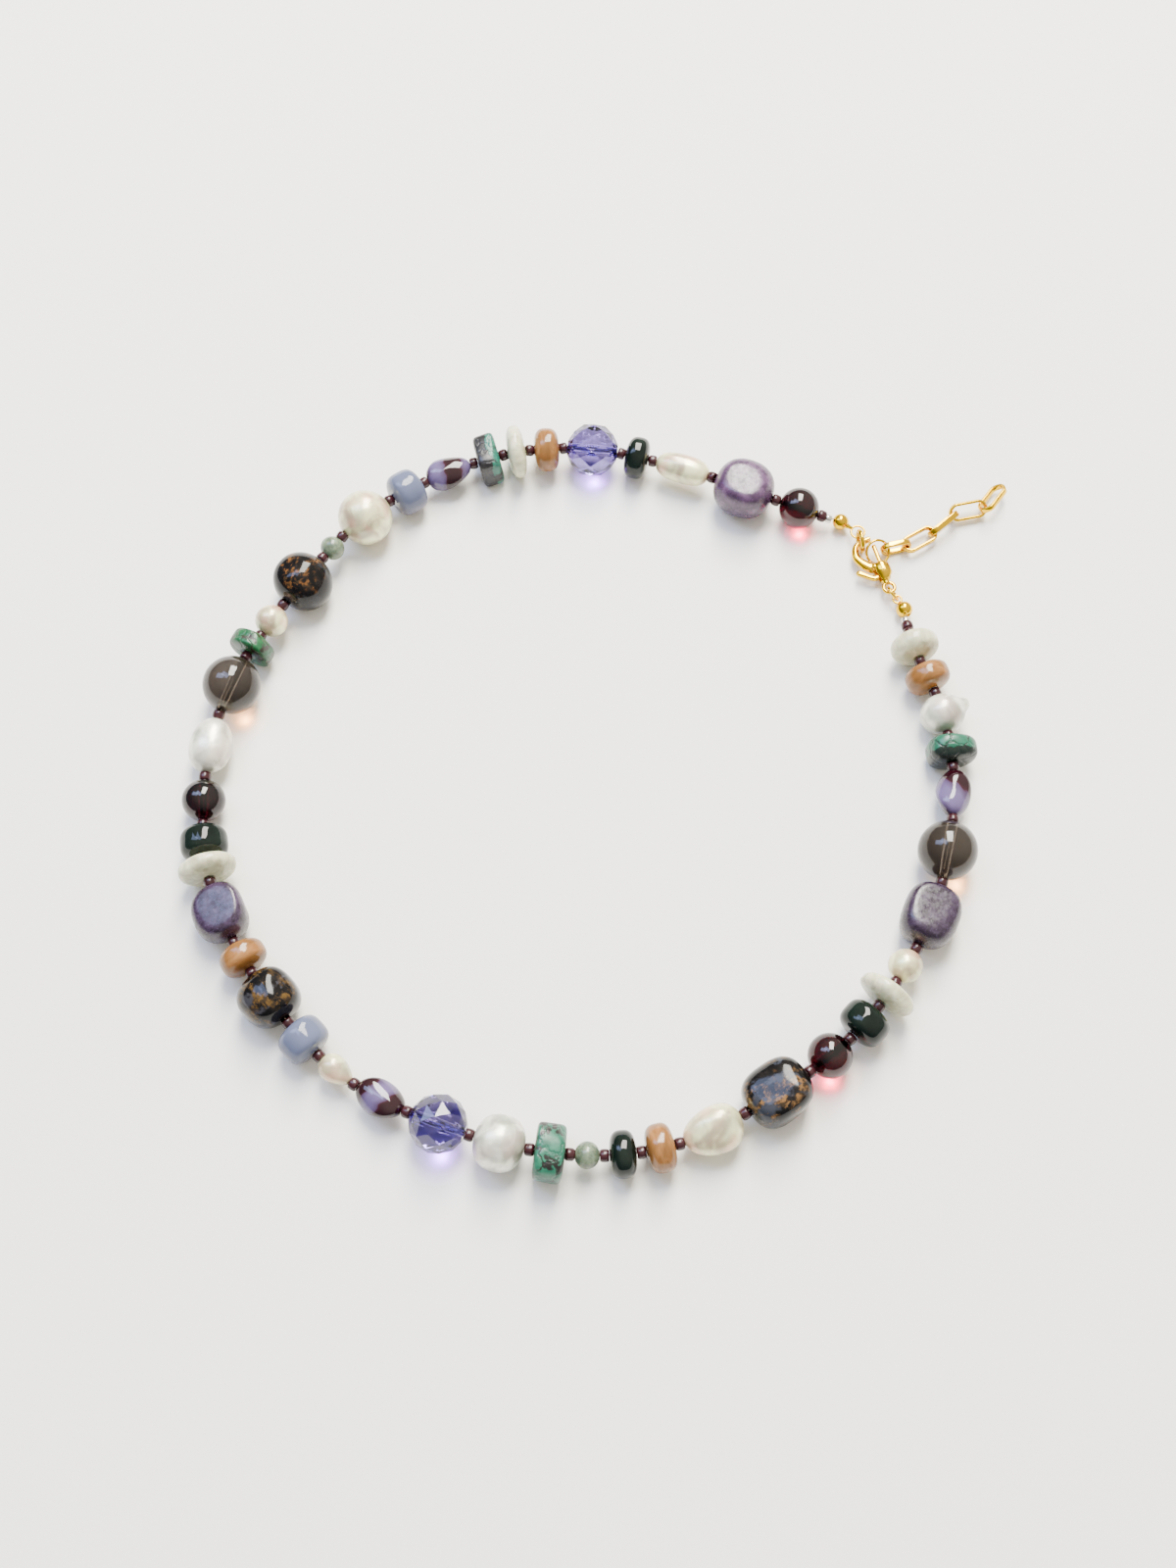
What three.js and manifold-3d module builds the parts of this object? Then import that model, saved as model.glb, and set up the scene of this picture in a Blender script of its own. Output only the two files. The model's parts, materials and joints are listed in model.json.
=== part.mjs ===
// A beaded necklace of gemstones, glass and pearls, 1 : 1 in millimetres, +Z up and +Y away from
// the viewer. It lies as a fastened loop on a flat surface at z = 0: forty-five drilled beads on one
// thread, a gold ball tip at each end, a lobster clasp with its jump rings, and five extender links.
import * as THREE from "three";
import { ConvexGeometry } from "three/addons/geometries/ConvexGeometry.js";
import { mergeVertices } from "three/addons/utils/BufferGeometryUtils.js";
import Module from "manifold-3d";

const wasm = await Module();
wasm.setup();

const DEGREE = Math.PI / 180;
const UP = new THREE.Vector3(0, 0, 1);

// String
const THREAD_D = 0.4;
const BORE_D = 1.2;
const SEED_LENGTH = 1.6; // room for one seed bead between two neighbours
const CLOSE_GAP = 0.5; // where two beads touch with no seed between them
const DROOP = 0.3; // how far a bead sags below the line of its neighbours
const TIP_ROOM = 2.9; // crimp and seed bead between the first ball tip and the first bead
const TAIL_ROOM = 5.1; // crimp and seed beads between the last bead and the second ball tip
const THREAD_SIDES = 5;
const BEAD_SIDES = 12;
const BEAD_RINGS = 6;

// Gold findings
const BALL_D = 3;
const BALL_SIDES = 12;
const NECK_D = 0.9;
const NECK_LENGTH = 1;
const TIP_WIRE_D = 0.4;
const TIP_LOOP_D = 2.9; // outer size of the first ball tip's loop
const TAIL_LOOP_D = 1.9; // outer size of the second ball tip's loop
const HOOK_RING_D = 4.6; // thick jump ring between the first ball tip and the clasp
const HOOK_RING_WIRE_D = 0.8;
const CHAIN_RING_D = 4.9; // thin jump ring that hangs the extender chain on the hook
const CHAIN_RING_WIRE_D = 0.5;
const CHAIN_RING_TILT = 34;
const EYE_RING_D = 3.3; // jump ring between the clasp's eye and the second ball tip
const EYE_RING_WIRE_D = 0.5;
const EYE_RING_LEAN = 30;
const RING_SIDES = 14;
const WIRE_SIDES = 6;

// Lobster clasp: u runs from the eye to the hook, w across to the lever's side
const CLASP_PLACE = new THREE.Vector2(54.8, 38.1); // centre of the eye
const CLASP_TURN = 23; // degrees that u leans from +Y towards -X
const CLASP_HEIGHT = 1.9;
const EYE_D = 2.7;
const EYE_WIRE_D = 0.7;
const CLASP_NECK_D = 1.3;
const BODY_START = 1.3;
const BODY_LENGTH = 3.9;
const BODY_WIDTH = 3.2;
const BODY_OFFSET = 0.45; // the body's middle lies this far to the lever's side
const ARM_WIDTH = 1.15;
const ARM_HEIGHT = 1.3;
const HOOK_REACH = 10.3; // centre of the hook's top above the eye
const HOOK_BELLY = 2.8; // centre of the hook's arm beside the eye's line
const SLOT_HEIGHT = 1.5;
const SLOT_START = 1.6;
const LEVER_THICKNESS = 0.9;
const LEVER_WIDTH = 0.75;
const PIVOT = new THREE.Vector2(0.5, 3.2); // w, u
const HUB_D = 1.9;
const PIN_D = 0.6;
const PIN_CLEARANCE = 0.3;
const GATE_END = new THREE.Vector2(1.2, 9.2); // w, u
const TAB_KNEE = new THREE.Vector2(-1.5, 2.5); // w, u
const TAB_END = new THREE.Vector2(-4.1, 5.1); // w, u
const TAB_WIDTH = 0.95;
const MEETING_GAP = 0.3;
const RING_SEAT = 1; // from the hook's inner face to where the thick ring crosses the arm
const RING_ASIDE = 1.05; // and as far from the arm's own inner face
const TIP_SEAT = -0.25; // w where the thick ring crosses the first ball tip's loop

// Extender chain of flat-wire links
const LINK_LENGTH = 7.4;
const LINK_WIDTH = 3.4;
const LINK_WALL = 0.45;
const LINK_RIBBON = 1.1;
const FIRST_LINK_LENGTH = 5.9;
const LINK_PLAY = 0.85;

const GOLD = 0xe8b23a;

// Each kind of bead. long: from hole to hole; wide and tall: across the string, level and upright;
// full: 2 for an oval profile, more for a squarer barrel; square: the same for the cross-section;
// lobes and lobe: a wavy outline; taper: how much fatter the far end is; twist: degrees of turn.
const KINDS = {
  garnet: { long: 7.3, wide: 7.6, tall: 7.6, full: 2, colour: 0x3a0f18, rough: 0.1 },
  lepidolite_a: {
    long: 11, wide: 10.9, tall: 10, full: 2.5, square: 2.3, lobes: 3, lobe: 0.03,
    colour: 0x7d6a90, rough: 0.3,
  },
  lepidolite_b: {
    long: 10, wide: 9, tall: 9.4, full: 3, square: 2.8, lobes: 3, lobe: 0.03,
    colour: 0x5b4a74, rough: 0.3,
  },
  lepidolite_c: {
    long: 11, wide: 9.3, tall: 9.6, full: 3.2, square: 2.8, lobes: 2, lobe: 0.03,
    colour: 0x54466c, rough: 0.4,
  },
  rice_pearl: { long: 10.1, wide: 5.3, tall: 5.3, full: 2.6, colour: 0xece4d2, rough: 0.25 },
  green_rondelle: { long: 4.4, wide: 7.8, tall: 7.8, full: 2.9, colour: 0x16281f, rough: 0.12 },
  crystal: { long: 9.3, wide: 9.4, tall: 9.4, colour: 0x5e4d94, rough: 0.05 },
  orange_rondelle: { long: 4.7, wide: 8.1, tall: 8.1, full: 3, colour: 0xc07c3c, rough: 0.2 },
  white_disc: { long: 3.4, wide: 10, tall: 10, full: 2.6, colour: 0xdcdccf, rough: 0.25 },
  white_rondelle: { long: 4.6, wide: 8.8, tall: 8.8, full: 2.6, colour: 0xd4cfb8, rough: 0.25 },
  turquoise_a: {
    long: 4.1, wide: 7.8, tall: 8, full: 7, square: 2.4, lobes: 3, lobe: 0.04,
    colour: 0x3f6a62, rough: 0.35,
  },
  turquoise_b: {
    long: 3.3, wide: 7.8, tall: 7.8, full: 6, square: 2.2, lobes: 3, lobe: 0.04,
    colour: 0x2f8f5a, rough: 0.35,
  },
  turquoise_c: {
    long: 4.9, wide: 9.2, tall: 9.4, full: 8, square: 3, lobes: 3, lobe: 0.03,
    colour: 0x3f9c86, rough: 0.35,
  },
  turquoise_d: {
    long: 4.4, wide: 8.5, tall: 8.4, full: 4, square: 2.4, lobes: 3, lobe: 0.04,
    colour: 0x3f9c86, rough: 0.35,
  },
  twist_glass: { long: 8.5, wide: 6.2, tall: 4.6, full: 2.3, twist: 100, colour: 0x5d3b5f, rough: 0.1 },
  blue_barrel: { long: 5.9, wide: 8.2, tall: 8.2, full: 3.4, colour: 0x8fa3cc, rough: 0.2 },
  large_pearl: { long: 9.8, wide: 10.1, tall: 10.1, full: 2, colour: 0xe8dfce, rough: 0.25 },
  white_pearl: { long: 8.4, wide: 9.4, tall: 9.4, full: 2.3, colour: 0xe4e0d6, rough: 0.25 },
  small_pearl: { long: 5.6, wide: 5.9, tall: 5.9, full: 2, colour: 0xe8dfce, rough: 0.25 },
  drop_pearl: { long: 6, wide: 4.5, tall: 4.5, full: 2, taper: -0.28, colour: 0xe8dccb, rough: 0.25 },
  baroque_pearl_a: {
    long: 10, wide: 7, tall: 7, full: 2.2, lobes: 2, lobe: 0.05, taper: 0.06,
    colour: 0xe4e2d8, rough: 0.25,
  },
  baroque_pearl_b: {
    long: 10.1, wide: 7.6, tall: 7.4, full: 2.2, lobes: 3, lobe: 0.06, taper: 0.16,
    colour: 0xece6dc, rough: 0.25,
  },
  bump_pearl: { long: 7, wide: 8, tall: 8, full: 2, bump: 1.5, colour: 0xdfe2d6, rough: 0.25 },
  jade: { long: 4, wide: 4.5, tall: 4.5, full: 2, colour: 0x9dab98, rough: 0.25 },
  bronzite_a: {
    long: 10, wide: 10.7, tall: 10.2, full: 2.2, square: 2.2, lobes: 3, lobe: 0.03,
    colour: 0x2c2722, rough: 0.2,
  },
  bronzite_b: {
    long: 9.2, wide: 9.8, tall: 9.8, full: 2.6, square: 2.4, lobes: 3, lobe: 0.05,
    colour: 0x2c2722, rough: 0.2,
  },
  bronzite_c: {
    long: 11.2, wide: 9.6, tall: 9.6, full: 2.8, square: 2.6, lobes: 2, lobe: 0.04,
    colour: 0x3a3026, rough: 0.2,
  },
  smoky_quartz: { long: 10.3, wide: 10.3, tall: 10.3, full: 2, colour: 0x4a413b, rough: 0.05 },
  green_barrel: { long: 5.7, wide: 8.2, tall: 8.2, full: 3.2, colour: 0x16281f, rough: 0.12 },
};

// The beads in order, from the first ball tip round to the second; close: no seed bead follows
const STRING = [
  { bead: "garnet_1", kind: "garnet" },
  { bead: "lepidolite_1", kind: "lepidolite_a" },
  { bead: "pearl_rice", kind: "rice_pearl" },
  { bead: "green_rondelle_1", kind: "green_rondelle" },
  { bead: "crystal_1", kind: "crystal" },
  { bead: "orange_rondelle_1", kind: "orange_rondelle" },
  { bead: "white_disc_1", kind: "white_disc" },
  { bead: "turquoise_1", kind: "turquoise_a" },
  { bead: "twist_glass_1", kind: "twist_glass" },
  { bead: "blue_barrel_1", kind: "blue_barrel" },
  { bead: "pearl_large", kind: "large_pearl" },
  { bead: "jade_1", kind: "jade" },
  { bead: "bronzite_1", kind: "bronzite_a" },
  { bead: "pearl_small_1", kind: "small_pearl" },
  { bead: "turquoise_2", kind: "turquoise_b" },
  { bead: "smoky_quartz_1", kind: "smoky_quartz" },
  { bead: "pearl_baroque_1", kind: "baroque_pearl_a" },
  { bead: "garnet_2", kind: "garnet" },
  { bead: "green_barrel_1", kind: "green_barrel", close: true },
  { bead: "white_disc_2", kind: "white_disc" },
  { bead: "lepidolite_2", kind: "lepidolite_b" },
  { bead: "orange_rondelle_2", kind: "orange_rondelle" },
  { bead: "bronzite_2", kind: "bronzite_b" },
  { bead: "blue_barrel_2", kind: "blue_barrel" },
  { bead: "pearl_drop", kind: "drop_pearl" },
  { bead: "twist_glass_2", kind: "twist_glass" },
  { bead: "crystal_2", kind: "crystal" },
  { bead: "pearl_white", kind: "white_pearl" },
  { bead: "turquoise_3", kind: "turquoise_c" },
  { bead: "jade_2", kind: "jade" },
  { bead: "green_rondelle_2", kind: "green_rondelle" },
  { bead: "orange_rondelle_3", kind: "orange_rondelle" },
  { bead: "pearl_baroque_2", kind: "baroque_pearl_b" },
  { bead: "bronzite_3", kind: "bronzite_c" },
  { bead: "garnet_3", kind: "garnet" },
  { bead: "green_barrel_2", kind: "green_barrel" },
  { bead: "white_disc_3", kind: "white_disc" },
  { bead: "pearl_small_2", kind: "small_pearl" },
  { bead: "lepidolite_3", kind: "lepidolite_c" },
  { bead: "smoky_quartz_2", kind: "smoky_quartz" },
  { bead: "twist_glass_3", kind: "twist_glass" },
  { bead: "turquoise_4", kind: "turquoise_d" },
  { bead: "pearl_bump", kind: "bump_pearl" },
  { bead: "orange_rondelle_4", kind: "orange_rondelle" },
  { bead: "white_rondelle", kind: "white_rondelle" },
];

// Where the string lies, seen from above, between its two ball tips; its length follows the beads
const ROUTE = [
  [38.3, 53.8], [28.1, 57.3], [16.8, 62], [-0.1, 65.8], [-14.2, 65], [-27.1, 61], [-42.2, 50.2],
  [-53, 36.5], [-61.1, 23], [-66.6, 4.6], [-66.2, -13.6], [-61.5, -27.5], [-52, -42.1], [-40.1, -53.7],
  [-23.1, -62.1], [-5, -66.3], [12.6, -65.1], [31.2, -56], [45.9, -44.1], [57.4, -26.1], [63.1, -3.3],
  [62.2, 12.3], [58, 25.4],
];

const necklace = new THREE.Group();

function addPiece(name, geometry, colour, roughness, metalness, parent = necklace) {
  const material = new THREE.MeshStandardMaterial({ color: colour, roughness, metalness });
  const mesh = new THREE.Mesh(geometry, material);
  mesh.name = name;
  parent.add(mesh);
  return mesh;
}

const addGold = (name, geometry, parent) => addPiece(name, geometry, GOLD, 0.2, 1, parent);

function toSolid(geometry) {
  const bare = geometry.clone();
  bare.deleteAttribute("normal");
  bare.deleteAttribute("uv");
  const merged = mergeVertices(bare, 1e-4);
  const vertProperties = new Float32Array(merged.attributes.position.array);
  const triVerts = new Uint32Array(merged.index.array);
  return new wasm.Manifold(new wasm.Mesh({ numProp: 3, vertProperties, triVerts }));
}

function toGeometry(solid) {
  const mesh = solid.getMesh();
  const geometry = new THREE.BufferGeometry();
  geometry.setAttribute("position", new THREE.BufferAttribute(mesh.vertProperties, 3));
  geometry.setIndex(new THREE.BufferAttribute(mesh.triVerts, 1));
  return geometry;
}

// Closed outline of a bead's half section, from one end of the bore over the belly and back
function beadProfile({ long, wide, full }) {
  const bore = BORE_D / 2;
  const radius = wide / 2;
  const power = 2 / full;
  const start = Math.asin((bore / radius) ** (full / 2));
  const reach = Math.cos(start) ** power;
  const points = [];
  for (let i = 0; i <= BEAD_RINGS; i++) {
    const angle = Math.PI - start - (i / BEAD_RINGS) * (Math.PI - 2 * start);
    const along = Math.sign(Math.cos(angle)) * Math.abs(Math.cos(angle)) ** power;
    points.push(new THREE.Vector2(radius * Math.sin(angle) ** power, (long / 2) * (along / reach)));
  }
  points[0].x = bore;
  points[BEAD_RINGS].x = bore;
  points.push(points[0].clone());
  return points;
}

// Reshapes a round bead's cross-section: level and upright widths, corners, lobes, taper and twist
function shapeBead(geometry, kind) {
  const { long, wide, tall, square = 2, lobes = 0, lobe = 0, taper = 0, twist = 0 } = kind;
  const bore = BORE_D / 2;
  const places = geometry.attributes.position;
  for (let i = 0; i < places.count; i++) {
    const x = places.getX(i);
    const y = places.getY(i);
    const z = places.getZ(i);
    const radius = Math.hypot(x, z);
    const share = Math.max(0, (radius - bore) / (wide / 2 - bore));
    const angle = Math.atan2(z, x) - twist * DEGREE * (y / long);
    const level = Math.abs(Math.cos(angle)) / (wide / 2);
    const upright = Math.abs(Math.sin(angle)) / (tall / 2);
    const section = (level ** square + upright ** square) ** (-1 / square);
    const wave = 1 + lobe * Math.cos(lobes * angle + y / long) + (taper * 2 * y) / long;
    const grown = 1 + (share * (section * wave - bore) + bore - radius) / radius;
    places.setXYZ(i, x * grown, y, z * grown);
  }
  return geometry;
}

function stoneBead(kind) {
  return shapeBead(new THREE.LatheGeometry(beadProfile(kind), BEAD_SIDES), kind);
}

// A pearl with a small second pearl grown on its side
function bumpPearl(kind) {
  const bump = new THREE.SphereGeometry(kind.bump, 10, 6);
  bump.translate(kind.wide / 2 - kind.bump / 3, kind.long * 0.12, kind.tall * 0.1);
  return toGeometry(toSolid(stoneBead(kind)).add(toSolid(bump)));
}

// A cut crystal: eight flat girdle facets, two rows of kite and triangle facets, and a table at each end
function cutCrystal({ long, wide }) {
  const corner = wide / 2 / Math.cos(Math.PI / 8);
  const rows = [
    { along: -0.5, radius: 0.42, turn: 0 },
    { along: -0.3, radius: 0.84, turn: 0.5 },
    { along: -0.09, radius: 1, turn: 0 },
    { along: 0.09, radius: 1, turn: 0 },
    { along: 0.3, radius: 0.84, turn: 0.5 },
    { along: 0.5, radius: 0.42, turn: 0 },
  ];
  const points = [];
  for (const row of rows) {
    for (let i = 0; i < 8; i++) {
      const angle = ((i + 0.5 + row.turn) * Math.PI) / 4;
      const radius = corner * row.radius;
      points.push(new THREE.Vector3(radius * Math.cos(angle), row.along * long, radius * Math.sin(angle)));
    }
  }
  const bore = new THREE.CylinderGeometry(BORE_D / 2, BORE_D / 2, long * 1.2, 10);
  return toGeometry(toSolid(new ConvexGeometry(points)).subtract(toSolid(bore)));
}

const SHAPERS = { crystal: cutCrystal, bump_pearl: bumpPearl };

// A round wire bent into a ring about the local Z axis, outer size first
function ring(outer, wire) {
  return new THREE.TorusGeometry((outer - wire) / 2, wire / 2, WIRE_SIDES, RING_SIDES);
}

function claspPlace(u, w) {
  const across = new THREE.Vector3(Math.cos(CLASP_TURN * DEGREE), Math.sin(CLASP_TURN * DEGREE), 0);
  const along = new THREE.Vector3(-Math.sin(CLASP_TURN * DEGREE), Math.cos(CLASP_TURN * DEGREE), 0);
  const eye = new THREE.Vector3(CLASP_PLACE.x, CLASP_PLACE.y, CLASP_HEIGHT);
  return eye.addScaledVector(along, u).addScaledVector(across, w);
}

// Puts a ring so that its middle and one of its diameters lie as given, leant about that diameter
function placeRing(mesh, middle, diameter, lean) {
  const along = diameter.clone().normalize();
  const side = new THREE.Vector3().crossVectors(UP, along).normalize();
  const normal = side.applyAxisAngle(along, lean * DEGREE);
  const third = new THREE.Vector3().crossVectors(normal, along);
  mesh.quaternion.setFromRotationMatrix(new THREE.Matrix4().makeBasis(along, third, normal));
  mesh.position.copy(middle);
}

// Lobster clasp in its own frame: x is w, y is u, z is up
const clasp = new THREE.Group();
clasp.position.set(CLASP_PLACE.x, CLASP_PLACE.y, CLASP_HEIGHT);
clasp.rotation.z = CLASP_TURN * DEGREE;
necklace.add(clasp);

function claspHook() {
  const arm = new THREE.Shape();
  arm.absellipse(0, 0, ARM_WIDTH / 2, ARM_HEIGHT / 2, 0, Math.PI * 2);
  const bodyFront = BODY_START + BODY_LENGTH;
  const path = new THREE.CatmullRomCurve3([
    new THREE.Vector3(BODY_OFFSET - BODY_WIDTH * 0.3, bodyFront - 0.9, 0),
    new THREE.Vector3(-HOOK_BELLY * 0.64, bodyFront + 0.4, 0),
    new THREE.Vector3(-HOOK_BELLY, bodyFront + (HOOK_REACH - bodyFront) * 0.5, 0),
    new THREE.Vector3(-HOOK_BELLY * 0.78, HOOK_REACH - 0.7, 0),
    new THREE.Vector3(-HOOK_BELLY * 0.32, HOOK_REACH, 0),
    new THREE.Vector3(GATE_END.x - 0.5, HOOK_REACH + 0.15, 0),
    new THREE.Vector3(GATE_END.x + 0.1, HOOK_REACH + 0.1, 0),
  ]);
  const armShape = new THREE.Shape(arm.getPoints(2));
  const sweep = new THREE.ExtrudeGeometry(armShape, { extrudePath: path, steps: 14, bevelEnabled: false });
  const root = new THREE.BoxGeometry(BODY_WIDTH * 0.34, BODY_LENGTH * 0.26, SLOT_HEIGHT + 0.7);
  root.translate(BODY_OFFSET - BODY_WIDTH * 0.4, bodyFront - BODY_LENGTH * 0.17, 0);
  return toSolid(sweep).add(toSolid(root));
}

function claspBody() {
  const front = BODY_START + BODY_LENGTH;
  const outline = [
    new THREE.Vector2(0, EYE_D / 2 - EYE_WIRE_D * 0.6),
    new THREE.Vector2(CLASP_NECK_D / 2, EYE_D / 2 - EYE_WIRE_D * 0.6),
    new THREE.Vector2(CLASP_NECK_D / 2, BODY_START),
    new THREE.Vector2(BODY_WIDTH * 0.42, BODY_START + BODY_LENGTH * 0.2),
    new THREE.Vector2(BODY_WIDTH / 2, BODY_START + BODY_LENGTH * 0.55),
    new THREE.Vector2(BODY_WIDTH * 0.46, front - BODY_LENGTH * 0.1),
    new THREE.Vector2(BODY_WIDTH * 0.36, front),
    new THREE.Vector2(0, front),
  ];
  const barrel = new THREE.LatheGeometry(outline, 12);
  const places = barrel.attributes.position;
  for (let i = 0; i < places.count; i++) {
    const rise = THREE.MathUtils.clamp((places.getY(i) - BODY_START) / (BODY_LENGTH * 0.3), 0, 1);
    places.setX(i, places.getX(i) + BODY_OFFSET * rise);
  }
  const slot = new THREE.BoxGeometry(BODY_WIDTH * 1.6, BODY_LENGTH * 1.5, SLOT_HEIGHT);
  slot.translate(BODY_OFFSET, SLOT_START + BODY_LENGTH * 0.75, 0);
  const pin = new THREE.CylinderGeometry(PIN_D / 2, PIN_D / 2, BODY_WIDTH * 0.7, 10);
  pin.rotateX(Math.PI / 2);
  pin.translate(PIVOT.x, PIVOT.y, 0);
  const eye = ring(EYE_D, EYE_WIRE_D);
  return toSolid(barrel).subtract(toSolid(slot)).add(toSolid(pin)).add(toSolid(eye));
}

// One flat bar from one point of the lever to another, with round ends
function leverBar(from, to, width) {
  const length = from.distanceTo(to);
  const bar = new THREE.Shape();
  bar.absarc(0, 0, width / 2, Math.PI / 2, (Math.PI * 3) / 2);
  bar.absarc(length, 0, width / 2, -Math.PI / 2, Math.PI / 2);
  const plate = { depth: LEVER_THICKNESS, bevelEnabled: false, curveSegments: 4 };
  const flat = new THREE.ExtrudeGeometry(bar, plate);
  flat.translate(0, 0, -LEVER_THICKNESS / 2);
  flat.rotateZ(Math.atan2(to.y - from.y, to.x - from.x));
  flat.translate(from.x, from.y, 0);
  return toSolid(flat);
}

function claspLever() {
  const hub = new THREE.CylinderGeometry(HUB_D / 2, HUB_D / 2, LEVER_THICKNESS, 12);
  const hole = PIN_D / 2 + PIN_CLEARANCE;
  const bore = new THREE.CylinderGeometry(hole, hole, LEVER_THICKNESS * 2, 10);
  for (const round of [hub, bore]) {
    round.rotateX(Math.PI / 2);
    round.translate(PIVOT.x, PIVOT.y, 0);
  }
  const gateTip = GATE_END.clone();
  gateTip.y = Math.min(GATE_END.y, HOOK_REACH - ARM_WIDTH / 2 - MEETING_GAP - LEVER_WIDTH / 2);
  const gate = leverBar(PIVOT, gateTip, LEVER_WIDTH);
  const heel = leverBar(PIVOT, TAB_KNEE, TAB_WIDTH);
  const tab = leverBar(TAB_KNEE, TAB_END, TAB_WIDTH);
  return toSolid(hub).add(gate).add(heel).add(tab).subtract(toSolid(bore));
}

addGold("clasp_body", toGeometry(claspBody().add(claspHook())), clasp);
addGold("clasp_lever", toGeometry(claspLever()), clasp);

// Jump rings: one from the hook to the first ball tip, one for the chain, one at the clasp's eye
const hookInside = HOOK_REACH - ARM_WIDTH / 2 - RING_SEAT;
const tipInside = hookInside + (HOOK_RING_D - HOOK_RING_WIRE_D) * 0.97;
const hookCrossing = claspPlace(hookInside, ARM_WIDTH / 2 + RING_ASIDE - HOOK_BELLY);
const tipCrossing = claspPlace(tipInside, TIP_SEAT);
const hookRing = addGold("jump_ring_hook", ring(HOOK_RING_D, HOOK_RING_WIRE_D));
const hookRingMiddle = hookCrossing.clone().lerp(tipCrossing, 0.5);
hookRingMiddle.z = Math.max(HOOK_RING_D / 2, CLASP_HEIGHT);
placeRing(hookRing, hookRingMiddle, tipCrossing.clone().sub(hookCrossing), 0);

const chainRingInside = claspPlace(7.45, -0.85);
const chainRingAxis = claspPlace(7.4, 3.6).sub(chainRingInside).normalize();
const chainRingReach = (CHAIN_RING_D - CHAIN_RING_WIRE_D) / 2;
const chainRingMiddle = chainRingInside.clone().addScaledVector(chainRingAxis, chainRingReach);
const chainRing = addGold("jump_ring_chain", ring(CHAIN_RING_D, CHAIN_RING_WIRE_D));
placeRing(chainRing, chainRingMiddle, chainRingAxis, 90 + CHAIN_RING_TILT);

const tailHeading = new THREE.Vector3(0.477, -0.879, 0).normalize();
const eyeRingReach = EYE_RING_D - EYE_RING_WIRE_D;
const eyeRing = addGold("jump_ring_eye", ring(EYE_RING_D, EYE_RING_WIRE_D));
const eyeMiddle = claspPlace(0, 0);
const eyeRingMiddle = eyeMiddle.clone().addScaledVector(tailHeading, eyeRingReach / 2);
placeRing(eyeRing, eyeRingMiddle, tailHeading, EYE_RING_LEAN);

// Ball tips: a drilled ball with its loop soldered on; the thread ends in the drilled ball
function ballTip(loopOuter, neckLength) {
  const radius = BALL_D / 2;
  const bore = BORE_D / 2;
  const outline = [];
  for (let i = 0; i <= 6; i++) {
    const angle = (i / 6) * (Math.PI - Math.asin(bore / radius));
    outline.push(new THREE.Vector2(radius * Math.sin(angle), -radius * Math.cos(angle)));
  }
  outline[0].x = 0;
  outline.push(new THREE.Vector2(bore, -radius / 3));
  outline.push(new THREE.Vector2(0, -radius / 3));
  const ball = new THREE.LatheGeometry(outline, BALL_SIDES);
  const neck = new THREE.CylinderGeometry(NECK_D / 2, NECK_D / 2, neckLength + radius / 2, 8);
  neck.translate(0, -radius - neckLength / 2 + radius / 8, 0);
  const loop = ring(loopOuter, TIP_WIRE_D);
  loop.translate(0, -radius - neckLength - (loopOuter - TIP_WIRE_D) / 2, 0);
  return toGeometry(toSolid(ball).add(toSolid(neck)).add(toSolid(loop)));
}

// Local Y of the ball tip points from its loop to the string
function placeBallTip(name, loopMiddle, heading, loopOuter, neckLength) {
  const tip = addGold(name, ballTip(loopOuter, neckLength));
  const along = heading.clone().normalize();
  const side = new THREE.Vector3().crossVectors(along, UP).normalize();
  const up = new THREE.Vector3().crossVectors(side, along);
  tip.quaternion.setFromRotationMatrix(new THREE.Matrix4().makeBasis(side, along, up));
  const reach = (loopOuter - TIP_WIRE_D) / 2 + neckLength + BALL_D / 2;
  tip.position.copy(loopMiddle).addScaledVector(along, reach);
  return tip.position.clone();
}

const tipLoopMiddle = tipCrossing.clone();
tipLoopMiddle.addScaledVector(tipCrossing.clone().sub(hookCrossing).normalize(), 0.3);
const firstHeading = claspPlace(tipInside + 3.5, -2.45).sub(tipCrossing);
const firstBall = placeBallTip("ball_tip_first", tipLoopMiddle, firstHeading, TIP_LOOP_D, NECK_LENGTH);
const tailLoopMiddle = eyeMiddle.clone().addScaledVector(tailHeading, eyeRingReach);
const secondBall = placeBallTip("ball_tip_second", tailLoopMiddle, tailHeading, TAIL_LOOP_D, 0.1);

// Extender chain: flat-wire links, one standing on edge and the next lying, hooked through each other
function chainLink(length) {
  const oval = (outer, width) => {
    const shape = new THREE.Shape();
    const straight = (outer - width) / 2;
    shape.absarc(straight, 0, width / 2, -Math.PI / 2, Math.PI / 2);
    shape.absarc(-straight, 0, width / 2, Math.PI / 2, (Math.PI * 3) / 2);
    return shape;
  };
  const shape = oval(length, LINK_WIDTH);
  shape.holes.push(oval(length - 2 * LINK_WALL, LINK_WIDTH - 2 * LINK_WALL));
  const ribbon = { depth: LINK_RIBBON, bevelEnabled: false, curveSegments: 7 };
  const link = new THREE.ExtrudeGeometry(shape, ribbon);
  return link.translate(0, 0, -LINK_RIBBON / 2);
}

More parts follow.
